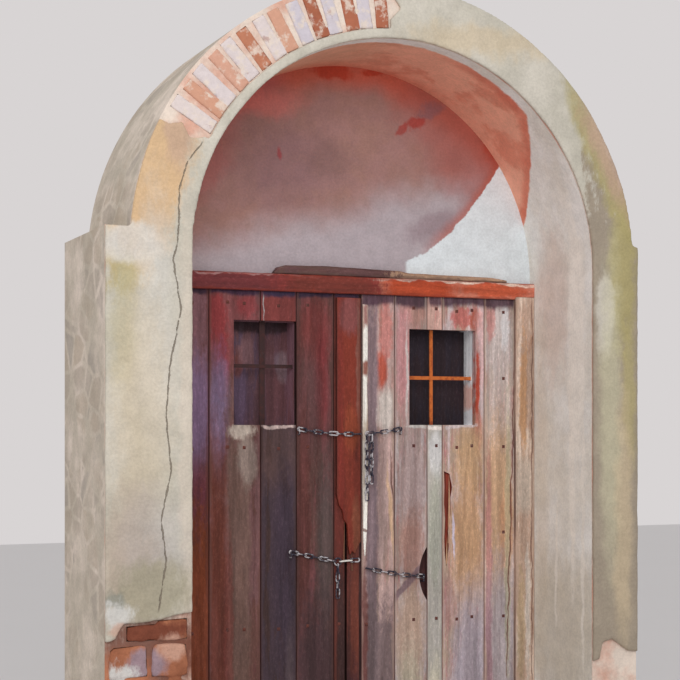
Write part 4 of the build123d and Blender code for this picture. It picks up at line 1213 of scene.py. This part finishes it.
@dataclass
class LeftLeaf(Leaf):
    """The leaf in the shade: crimson above, lavender, brown and purple below."""

    # Its boards' darkening multipliers paint the shade that the leaf stands in.
    side: str = "left"
    edge_node: str = "cover_strip"
    edge_slot: str = "strip_wood"
    # Painted shadow of the head beam, dark purple along the boards' tops.
    shade: Patch = band(-0.37, 2.152, 0.60, 0.030, paint(58, 40, 66), 0.95, 0.3, ragged=0.2)
    cut: Colour = paint(54, 32, 28)
    seam: Colour = paint(80, 36, 36)

    def finishes(self) -> dict[str, OldPaintedWood]:
        """Finish of each wooden node of the leaf, by name.

        Returns:
            The finishes.
        """
        return {
            "left_plank_1": self.hinge_board(),
            "left_plank_2": self.outer_board(),
            "left_plank_3_upper": self.board_over_window(),
            "left_plank_3_lower": self.board_under_window(),
            "left_plank_4": self.inner_board(),
            "left_plank_5": self.edge_board(),
            "cover_strip": self.strip(),
            "left_window_board": self.window_back(),
            "left_window_lining": self.window_lining(),
        }

    def hinge_board(self) -> OldPaintedWood:
        """Lavender over brown.

        Returns:
            The finish.
        """
        return painted(
            "left_board_1", paint(104, 66, 60), paint(122, 82, 96), paint(110, 70, 80), 0.5,
            Patch(-0.69, 1.97, 0.09, 0.20, paint(140, 112, 126), 0.8, 0.5, ragged=0.9),
            Patch(-0.69, 1.66, 0.09, 0.22, paint(134, 124, 170), 0.85, 0.5),
            Patch(-0.69, 1.30, 0.09, 0.14, paint(112, 60, 84), 0.7, 0.5),
            band(-0.68, 0.62, 0.12, 0.62, paint(128, 70, 40), 0.95, 0.25),
            Patch(-0.70, 0.95, 0.02, 0.20, paint(150, 84, 52), 0.7),
            seed=11.0, grime=(0.80, 0.60, 0.54),
        )

    def outer_board(self) -> OldPaintedWood:
        """Red at the window, grey-brown below, with a pale scrape under the sill.

        Returns:
            The finish.
        """
        return painted(
            "left_board_2", paint(110, 84, 76), paint(118, 92, 92), paint(104, 70, 70), 0.5,
            Patch(-0.56, 1.98, 0.16, 0.17, paint(134, 84, 86), 0.85, 0.4),
            Patch(-0.59, 2.02, 0.040, 0.13, paint(150, 62, 64), 0.8, 0.4, -0.12, ragged=0.9),
            Patch(-0.46, 2.08, 0.045, 0.05, paint(142, 60, 64), 0.7, 0.5, ragged=0.9),
            Patch(-0.57, 1.82, 0.03, 0.12, paint(146, 58, 60), 0.8),
            Patch(-0.58, 1.66, 0.04, 0.22, paint(132, 128, 164), 0.85, 0.5),
            band(-0.50, 0.80, 0.05, 0.80, paint(116, 100, 90), 0.9, 0.3),
            Patch(-0.46, 1.46, 0.04, 0.10, paint(150, 150, 140), 0.8),
            Patch(-0.49, 1.572, 0.055, 0.030, paint(196, 204, 190), 0.9, 0.4, ragged=0.8),
            band(-0.585, 0.80, 0.035, 0.75, paint(112, 62, 46), 0.85, 0.4),
            Patch(-0.54, 0.70, 0.02, 0.50, paint(122, 66, 58), 0.6),
            seed=12.0, grime=(0.86, 0.66, 0.66),
        )

    def board_over_window(self) -> OldPaintedWood:
        """Short red board with a white streak at its seam.

        Returns:
            The finish.
        """
        return painted(
            "left_board_3_upper", paint(140, 70, 62), paint(150, 62, 54), paint(160, 80, 74), 0.7,
            Patch(-0.394, 2.09, 0.0022, 0.08, PALE_CREAM, 0.75, 0.6, ragged=1.6),
            seed=13.0, grime=(0.62, 0.76, 0.88),
        )

    def board_under_window(self) -> OldPaintedWood:
        """Purple-grey, with white left at the sill.

        Returns:
            The finish.
        """
        return painted(
            "left_board_3_lower", paint(88, 72, 74), paint(78, 66, 80), paint(84, 66, 68), 0.6,
            Patch(-0.33, 1.48, 0.09, 0.14, paint(104, 84, 84), 0.8, 0.5),
            Patch(-0.33, 1.592, 0.085, 0.007, paint(240, 234, 236), 0.9, 0.4, ragged=0.8),
            Patch(-0.30, 1.05, 0.05, 0.40, paint(72, 62, 84), 0.7, 0.5),
            Patch(-0.28, 0.45, 0.02, 0.30, paint(104, 96, 104), 0.6, 0.5),
            seed=13.5, grime=(0.68, 0.55, 0.50),
        )

    def inner_board(self) -> OldPaintedWood:
        """Crimson above and brown-grey below.

        Returns:
            The finish.
        """
        return painted(
            "left_board_4", paint(120, 82, 76), paint(134, 78, 78), paint(112, 66, 62), 0.5,
            Patch(-0.17, 1.98, 0.07, 0.14, paint(150, 68, 64), 0.8, 0.5),
            Patch(-0.14, 1.78, 0.03, 0.20, paint(146, 52, 56), 0.7, 0.5),
            Patch(-0.20, 1.70, 0.05, 0.20, paint(136, 90, 92), 0.6, 0.5),
            Patch(-0.12, 1.10, 0.04, 0.35, paint(106, 92, 88), 0.8, 0.5),
            Patch(-0.22, 1.20, 0.03, 0.55, paint(112, 60, 54), 0.8, 0.4),
            Patch(-0.16, 0.45, 0.12, 0.45, paint(84, 60, 64), 0.85, 0.4),
            seed=14.0, grime=(0.60, 0.60, 0.61),
        )

    def edge_board(self) -> OldPaintedWood:
        """Dark red-brown, mostly under the strip.

        Returns:
            The finish.
        """
        return painted(
            "left_board_5", paint(92, 52, 44), paint(108, 56, 46), paint(74, 46, 44), 0.6,
            Patch(-0.05, 0.75, 0.02, 0.35, paint(62, 44, 44), 0.8, 0.4),
            band(-0.055, 1.62, 0.03, 0.60, paint(118, 52, 42), 0.85, 0.3),
            Patch(0.01, 0.75, 0.02, 0.30, paint(116, 60, 44), 0.8, 0.4),
            Patch(0.0, 0.30, 0.06, 0.30, paint(74, 44, 50), 0.8, 0.4),
            seed=15.0, grime=(0.85, 0.75, 0.75),
        )

    def strip(self) -> OldPaintedWood:
        """Bright red strip, browned in the middle.

        Returns:
            The finish.
        """
        return painted(
            "strip_wood", paint(140, 62, 40), paint(158, 58, 38), paint(120, 44, 34), 0.7,
            band(-0.065, 1.60, 0.018, 0.60, paint(166, 58, 44), 0.85, 0.5),
            Patch(-0.02, 2.05, 0.05, 0.08, paint(160, 90, 88), 0.7),
            Patch(0.02, 1.85, 0.010, 0.26, paint(168, 112, 96), 0.6),
            Patch(-0.01, 1.58, 0.03, 0.10, paint(190, 84, 50), 0.7),
            Patch(0.01, 1.18, 0.02, 0.12, paint(176, 96, 66), 0.7),
            seed=16.0, grime=(0.56, 0.64, 0.68),
        )

    def window_back(self) -> OldPaintedWood:
        """Dim board behind the bars, with the opening's painted shadow along its top and left.

        Returns:
            The finish.
        """
        return painted(
            "left_window_back", paint(106, 74, 78), paint(88, 66, 82), paint(112, 78, 84), 0.5,
            Patch(-0.48, 1.70, 0.08, 0.14, paint(86, 66, 88), 0.7, 0.5),
            Patch(-0.30, 1.72, 0.07, 0.12, paint(96, 58, 62), 0.7, 0.5),
            Patch(-0.30, 1.93, 0.07, 0.05, paint(90, 54, 56), 0.7, 0.5),
            # Painted shadow of the opening along the top and left of the board.
            band(-0.37, 2.005, 0.30, 0.030, paint(54, 36, 40), 0.9, 0.3),
            band(-0.505, 1.80, 0.018, 0.30, paint(72, 44, 46), 0.8, 0.4),
            Patch(-0.46, 1.86, 0.02, 0.06, paint(112, 58, 48), 0.7),
            Patch(-0.27, 1.84, 0.03, 0.06, paint(128, 108, 114), 0.6),
            Patch(-0.43, 1.90, 0.03, 0.05, paint(132, 96, 100), 0.6),
            seed=17.0, relief=0.001,
        )

    def window_lining(self) -> OldPaintedWood:
        """Dull mauve sides.

        Returns:
            The finish.
        """
        return painted(
            "left_window_lining_wood", paint(156, 108, 110), paint(146, 108, 120), paint(140, 96, 98), 0.6,
            seed=18.0,
        )


@dataclass
class RightLeaf(Leaf):
    """The leaf in the light: pink and off-white peeling paint over ochre boards."""

    side: str = "right"
    edge_node: str = "edge_lath"
    edge_slot: str = "lath_wood"
    # Painted shadow of the head beam, dark purple along the boards' tops.
    shade: Patch = band(0.40, 2.152, 0.60, 0.052, paint(82, 54, 68), 0.93, 0.28, ragged=0.2)
    cut: Colour = paint(78, 42, 42)
    seam: Colour = paint(128, 78, 74)

    def finishes(self) -> dict[str, OldPaintedWood]:
        """Finish of each wooden node of the leaf, by name.

        Returns:
            The finishes.
        """
        return {
            "right_plank_1": self.hinge_board(),
            "right_plank_2": self.outer_board(),
            "right_plank_3_upper": self.board_over_window(),
            "right_plank_3_lower": self.board_under_window(),
            "right_plank_4": self.inner_board(),
            "right_plank_5": self.edge_board(),
            "edge_lath": self.lath(),
            "right_window_board": self.window_back(),
            "right_window_lining": self.window_lining(),
        }

    def hinge_board(self) -> OldPaintedWood:
        """Off-white above, ochre in the middle and lilac low down.

        Returns:
            The finish.
        """
        return painted(
            "right_board_1", paint(196, 172, 150), OFF_WHITE, PEELING_PINK, 0.5,
            Patch(0.69, 1.95, 0.08, 0.20, paint(204, 194, 190), 0.75, 0.5),
            Patch(0.715, 2.02, 0.020, 0.10, paint(222, 222, 222), 0.7, ragged=0.9),
            Patch(0.645, 2.04, 0.020, 0.07, paint(212, 142, 134), 0.7, ragged=1.0),
            Patch(0.68, 1.62, 0.08, 0.20, OFF_WHITE, 0.7, 0.5),
            Patch(0.68, 1.22, 0.08, 0.38, paint(206, 168, 132), 0.9, 0.4),
            Patch(0.72, 1.12, 0.03, 0.20, paint(218, 164, 124), 0.8),
            Patch(0.635, 0.95, 0.016, 0.50, paint(190, 130, 126), 0.8, 0.4),
            Patch(0.70, 0.62, 0.08, 0.40, BOARD_LILAC, 0.85, 0.5),
            Patch(0.635, 0.50, 0.02, 0.40, paint(172, 132, 140), 0.8, 0.4),
            Patch(0.728, 1.10, 0.014, 0.60, paint(190, 184, 150), 0.6),
            Patch(0.745, 1.30, 0.0035, 0.85, paint(112, 50, 44), 0.8, 0.4, 0.028, ragged=0.8),
            seed=21.0, grime=(0.93, 0.92, 0.94),
        )

    def outer_board(self) -> OldPaintedWood:
        """Red and pink remains at the window, ochre below, and the gash.

        Returns:
            The finish.
        """
        return painted(
            "right_board_2", paint(200, 176, 152), OFF_WHITE, PEELING_PINK, 0.5,
            Patch(0.50, 2.05, 0.048, 0.044, paint(204, 110, 100), 0.85, 0.4, ragged=1.1),
            Patch(0.575, 2.04, 0.028, 0.04, paint(208, 106, 80), 0.8, 0.4, ragged=1.1),
            Patch(0.60, 1.92, 0.03, 0.18, paint(228, 188, 180), 0.75, 0.5, ragged=0.9),
            Patch(0.580, 1.76, 0.010, 0.16, paint(204, 78, 50), 0.95, ragged=0.9),
            Patch(0.58, 1.56, 0.03, 0.10, paint(204, 120, 90), 0.5),
            Patch(0.54, 1.45, 0.07, 0.14, paint(208, 172, 128), 0.9, 0.5),
            Patch(0.53, 1.10, 0.08, 0.32, paint(206, 164, 120), 0.9, 0.5),
            Patch(0.55, 0.55, 0.09, 0.34, BOARD_LILAC, 0.9, 0.5),
            Patch(0.44, 0.85, 0.03, 0.12, paint(190, 150, 138), 0.7),
            Patch(0.466, 1.14, 0.006, 0.09, paint(226, 218, 228), 0.9, ragged=0.9),
            Patch(0.50, 1.592, 0.075, 0.009, paint(228, 216, 208), 0.85, 0.3, ragged=0.8),
            seed=22.0, grime=(0.86, 0.84, 0.92), cut=paint(142, 62, 44), cut_top=1.56,
        )

    def board_over_window(self) -> OldPaintedWood:
        """Short pink board.

        Returns:
            The finish.
        """
        return painted(
            "right_board_3_upper", paint(208, 168, 156), OFF_WHITE, PEELING_PINK, 0.4, seed=23.0
        )

    def board_under_window(self) -> OldPaintedWood:
        """Narrow grey-green board.

        Returns:
            The finish.
        """
        return painted(
            "right_board_3_lower", paint(180, 174, 166), paint(176, 170, 162), paint(190, 184, 180), 0.6,
            Patch(0.38, 1.48, 0.03, 0.10, paint(206, 204, 204), 0.8),
            Patch(0.38, 1.592, 0.05, 0.009, paint(228, 218, 212), 0.85, 0.3, ragged=0.8),
            Patch(0.38, 1.15, 0.03, 0.24, paint(166, 168, 152), 0.6),
            Patch(0.38, 0.40, 0.04, 0.20, paint(208, 200, 176), 0.6),
            seed=23.5,
        )

    def inner_board(self) -> OldPaintedWood:
        """Pink beside the window, bare, greying boards below, and the lower chain's painted shadow.

        Returns:
            The finish.
        """
        return painted(
            "right_board_4", paint(194, 166, 154), paint(200, 180, 178), PEELING_PINK, 0.5,
            Patch(0.28, 2.08, 0.06, 0.06, paint(206, 150, 136), 0.8),
            Patch(0.23, 1.88, 0.040, 0.24, paint(226, 154, 154), 0.85, 0.5),
            Patch(0.27, 1.36, 0.06, 0.25, paint(186, 156, 152), 0.9, 0.5),
            Patch(0.27, 1.08, 0.06, 0.16, paint(180, 130, 116), 0.85, 0.5),
            Patch(0.26, 0.70, 0.07, 0.24, paint(200, 164, 144), 0.9, 0.4),
            Patch(0.26, 0.35, 0.07, 0.30, paint(198, 180, 158), 0.9, 0.4),
            # Painted shadow of the lower chain, running down to the left.
            Patch(0.245, 0.93, 0.020, 0.085, paint(138, 106, 112), 0.85, 0.3, 0.95),
            Patch(0.30, 1.592, 0.05, 0.009, paint(228, 216, 208), 0.85, 0.3, ragged=0.8),
            Patch(0.248, 1.80, 0.006, 0.20, paint(230, 212, 206), 0.85, 0.4, ragged=0.8),
            seed=24.0, grime=(0.76, 0.82, 0.84),
        )

    def edge_board(self) -> OldPaintedWood:
        """Red blob above, and painted purple-grey shade along the lath and low down.

        Returns:
            The finish.
        """
        return painted(
            "right_board_5", paint(172, 146, 134), paint(188, 158, 152), paint(186, 140, 134), 0.5,
            Patch(0.128, 1.83, 0.024, 0.08, paint(184, 76, 50), 0.9, 0.4),
            Patch(0.15, 2.00, 0.03, 0.12, paint(202, 120, 112), 0.7, ragged=0.9),
            Patch(0.125, 1.28, 0.035, 0.26, paint(156, 132, 128), 0.8, 0.5),
            # Painted shade along the lath.
            band(0.086, 1.30, 0.026, 0.95, paint(118, 100, 108), 0.85, 0.4),
            Patch(0.155, 1.66, 0.045, 0.09, paint(208, 196, 188), 0.95, 0.4),
            Patch(0.178, 1.20, 0.010, 0.20, paint(204, 168, 134), 0.8, 0.4, -0.09),
            Patch(0.188, 1.22, 0.004, 0.26, paint(96, 60, 50), 0.9, 0.4, -0.06),
            # Painted shade low down, its edge leaning right towards the foot.
            band(0.11, 0.40, 0.10, 0.44, paint(114, 96, 98), 0.9, 0.25, -0.06),
            Patch(0.050, 0.70, 0.016, 0.36, paint(104, 56, 50), 0.85, 0.4),
            seed=25.0,
        )

    def lath(self) -> OldPaintedWood:
        """Chalky white, with bare places.

        Returns:
            The finish.
        """
        return painted(
            "lath_wood", paint(206, 190, 172), paint(240, 236, 228), paint(176, 130, 110), 0.66,
            band(0.054, 2.06, 0.03, 0.055, paint(146, 88, 82), 0.9, 0.3),
            band(0.054, 1.83, 0.03, 0.030, paint(146, 84, 70), 0.95, 0.3),
            band(0.054, 1.168, 0.03, 0.008, paint(120, 80, 70), 0.8, 0.4),
            seed=26.0,
        )

    def window_back(self) -> OldPaintedWood:
        """Board behind the bars, painted black for the deep shade behind them.

        Returns:
            The finish.
        """
        return painted(
            # Near black: painted deep shade behind the bars.
            "right_window_back", paint(48, 34, 40), paint(40, 30, 40), paint(44, 32, 36), 0.5,
            seed=27.0, relief=0.001,
        )

    def window_lining(self) -> OldPaintedWood:
        """Sides painted dark for shade, the right one painted white for the sunlight on it.

        Returns:
            The finish.
        """
        return painted(
            # Dark colours: painted shade in the opening.
            "right_window_lining_wood", paint(60, 44, 50), paint(52, 40, 50), paint(58, 42, 46), 0.6,
            # Painted sunlight on the right side of the opening.
            band(0.58, 1.78, 0.03, 0.26, paint(252, 252, 255), 1.0, 0.15),
            Patch(0.575, 1.72, 0.03, 0.05, paint(246, 184, 166), 0.8),
            seed=28.0,
        )


# Splinters


@dataclass(frozen=True)
class Splinter:
    """A thin upright sliver of wood that is left standing in a break."""

    x: float
    y: float
    foot: float
    tip: float
    width: float
    lean_degrees: float = 0.0
    point: float = 0.0003
    flatness: float = 0.55

    def build(self) -> bpy.types.Object:
        """Make the sliver from a five-sided point, flattened, leant and moved in its mesh.

        Returns:
            The sliver.
        """
        bpy.ops.object.select_all(action="DESELECT")
        sizes = {"radius1": self.width / 2, "radius2": self.point, "depth": self.tip - self.foot}
        bpy.ops.mesh.primitive_cone_add(vertices=5, **sizes)
        piece = bpy.context.object
        piece.scale = (1.0, self.flatness, 1.0)
        piece.rotation_euler = Euler((0.0, math.radians(self.lean_degrees), 0.0))
        piece.location = (self.x, self.y, (self.foot + self.tip) / 2)
        bpy.ops.object.transform_apply(location=True, rotation=True, scale=True)
        return piece


@dataclass
class Splinters:
    """Slivers of one break, as one piece."""

    name: str
    body: str
    slot: str
    slivers: tuple[Splinter, ...]
    finish: OldPaintedWood

    def build(self) -> None:
        """Make and join the slivers."""
        pieces = [sliver.build() for sliver in self.slivers]
        bpy.ops.object.select_all(action="DESELECT")
        for piece in pieces:
            piece.select_set(True)
        bpy.context.view_layer.objects.active = pieces[0]
        bpy.ops.object.join()
        joined = bpy.context.object
        joined.name = self.name
        joined.data.materials.append(self.finish.build(Vector((-1.0, 0.0, 0.0)), Vector((1.0, 0.0, 3.0))))
        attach(joined, self.body)
        log.info("%s: %d slivers", self.name, len(pieces))


def splinters() -> tuple[Splinters, ...]:
    """The slivers in the right leaf's gash and at the foot of the red strip.

    Returns:
        The two groups of slivers.
    """
    tan = OldPaintedWood(
        "gash_sliver", paint(208, 164, 130), paint(216, 190, 170), paint(182, 122, 92), 0.4, seed=31.0
    )
    brown = OldPaintedWood(
        "strip_sliver", paint(122, 82, 62), paint(146, 104, 84), paint(90, 50, 40), 0.4, seed=32.0
    )
    gash = (
        Splinter(0.4480, -0.0180, 1.100, 1.392, 0.0180, -0.6),
        Splinter(0.4360, -0.0180, 1.010, 1.125, 0.0110, 1.0),
    )
    foot = (
        Splinter(-0.0400, -0.0240, 1.040, 1.215, 0.0070, 1.0),
        Splinter(-0.0060, -0.0240, 1.000, 1.085, 0.0080, -2.0),
    )
    return (
        Splinters("gash_splinters", "right_leaf", "right_leaf_wood", gash, tan),
        Splinters("strip_splinters", "left_leaf", "left_leaf_wood", foot, brown),
    )


# Iron


PAIRED_IRON = ("pintles", "leaf_nails", "staples")


@dataclass
class Ironwork:
    """Nails, straps, pintles, window bars, staples and chains."""

    def dress(self) -> None:
        """Give every iron node its finish."""
        sides = ("left", "right")
        hinges = tuple(f"{side}_strap_{place}" for side in sides for place in ("upper", "lower"))
        pintles, nails, staples = (tuple(f"{side}_{name}" for side in sides) for name in PAIRED_IRON)
        chains = tuple(f"{place}_chain_{side}" for place in ("upper", "lower") for side in sides)
        left_bars, right_bars = (
            (f"{side}_window_bar_vertical", f"{side}_window_bar_horizontal") for side in sides
        )
        finishes = (
            (hinges + pintles, OldIron(
                "dark_iron", paint(54, 42, 42), paint(96, 52, 38), paint(112, 100, 96), 0.5, 0.15
            )),
            (nails, OldIron(
                "nail_iron", paint(88, 50, 46), paint(112, 60, 50), paint(118, 86, 78),
                0.5, 0.15, metal=0.15,
            )),
            # Right bars: rust, painted bright for the sun on them.
            (right_bars, OldIron(
                "rusty_bar", paint(176, 84, 34), paint(206, 110, 46), paint(160, 70, 30),
                0.6, 0.2, 40.0, 0.1,
            )),
            # Left bars: the same iron, painted dark for shade.
            (left_bars, OldIron(
                "shaded_bar", paint(58, 34, 34), paint(72, 36, 34), paint(64, 44, 46),
                0.4, 0.1, 40.0, 0.2,
            )),
            (chains + ("chain_ring",) + staples, OldIron(
                "chain_iron", paint(52, 50, 66), paint(92, 78, 84), paint(196, 192, 196),
                0.4, 0.42, 52.0, 0.3,
            )),
            (("long_link",), OldIron(
                "bright_link", paint(206, 200, 192), paint(182, 170, 160), paint(240, 238, 232),
                0.2, 0.7, 40.0, 0.3,
            )),
        )
        for nodes, finish in finishes:
            dress_nodes(nodes, finish.build())


# Studio


SEEN_RAYS = ("Camera", "Glossy", "Transmission")


@dataclass
class Studio:
    """Camera, floor, plain light and pale backdrop."""

    camera_place: Vector = field(default_factory=lambda: Vector((-2.585, -5.89, 1.60)))
    turn_degrees: float = 23.3
    lens: float = 82.4
    sensor: float = 36.0
    horizon_below_middle: float = 85.0
    floor_side: float = 30.0
    ambient: float = 0.72
    key_power: float = 120.0
    lamp_place: Vector = field(default_factory=lambda: Vector((-2.2, -5.2, 3.9)))
    lamp_aim: Vector = field(default_factory=lambda: Vector((0.0, 0.0, 1.6)))
    lamp_size: tuple[float, float] = (3.2, 2.6)
    backdrop: Colour = paint(216, 212, 212)

    def build(self) -> None:
        """Place the camera, the floor and the lights."""
        self.place_camera()
        self.lay_floor()
        self.place_lights()
        self.set_world()
        bpy.context.scene.view_settings.view_transform = "Standard"

    def place_camera(self) -> None:
        """Stand the camera where the photograph was seen from."""
        data = bpy.data.cameras.new("photo_camera")
        data.lens = self.lens
        data.sensor_width = self.sensor
        data.shift_y = self.horizon_below_middle / PHOTO_SIDE
        camera = bpy.data.objects.new("photo_camera", data)
        camera.location = self.camera_place
        camera.rotation_euler = Euler((math.radians(90), 0, -math.radians(self.turn_degrees)))
        bpy.context.collection.objects.link(camera)
        bpy.context.scene.camera = camera

    def lay_floor(self) -> None:
        """Lay a plain pale floor under the door."""
        bpy.ops.object.select_all(action="DESELECT")
        bpy.ops.mesh.primitive_plane_add(size=self.floor_side, location=(0, 0, 0))
        floor = bpy.context.object
        floor.name = "floor"
        graph = Graph("pale_floor")
        tone = graph.noise(graph.point, 0.6)
        colour = graph.mix(self.backdrop, tuple(0.97 * part for part in self.backdrop), tone)
        floor.data.materials.append(graph.finish(colour, 0.9, None, 0.0))

    def place_lights(self) -> None:
        """Hang one large soft lamp before the door, high on the left."""
        data = bpy.data.lights.new("soft_key", "AREA")
        data.shape = "RECTANGLE"
        data.size, data.size_y = self.lamp_size
        data.energy = self.key_power
        lamp = bpy.data.objects.new("soft_key", data)
        lamp.location = self.lamp_place
        lamp.rotation_euler = (self.lamp_aim - self.lamp_place).to_track_quat("-Z", "Y").to_euler()
        bpy.context.collection.objects.link(lamp)

    def set_world(self) -> None:
        """Even light from all round, and a pale backdrop where the camera looks past the door."""
        world = bpy.data.worlds.new("studio")
        bpy.context.scene.world = world
        nodes = Nodes(world)
        rays = nodes.node("ShaderNodeLightPath").outputs
        camera, glossy, through = (Field(nodes, rays[f"Is {name} Ray"]) for name in SEEN_RAYS)
        seen = camera.higher_of(glossy).higher_of(through)
        lit = {"Color": (1.0, 1.0, 1.0), "Strength": self.ambient}
        light = nodes.made("ShaderNodeBackground", {}, lit)
        shown = nodes.made("ShaderNodeBackground", {}, {"Color": self.backdrop})
        joined = nodes.made("ShaderNodeMixShader", {}, {0: seen, 1: light, 2: shown})
        nodes.node("ShaderNodeOutputWorld", {}, {"Surface": joined})


def main() -> None:
    """Build the studio and dress every part of the door."""
    logging.basicConfig(level=logging.INFO, format="%(name)s %(message)s")
    Studio().build()
    Masonry().build()
    TimberFrame().dress()
    LeftLeaf().dress()
    RightLeaf().dress()
    for group in splinters():
        group.build()
    Ironwork().dress()


if __name__ == "__main__":
    main()
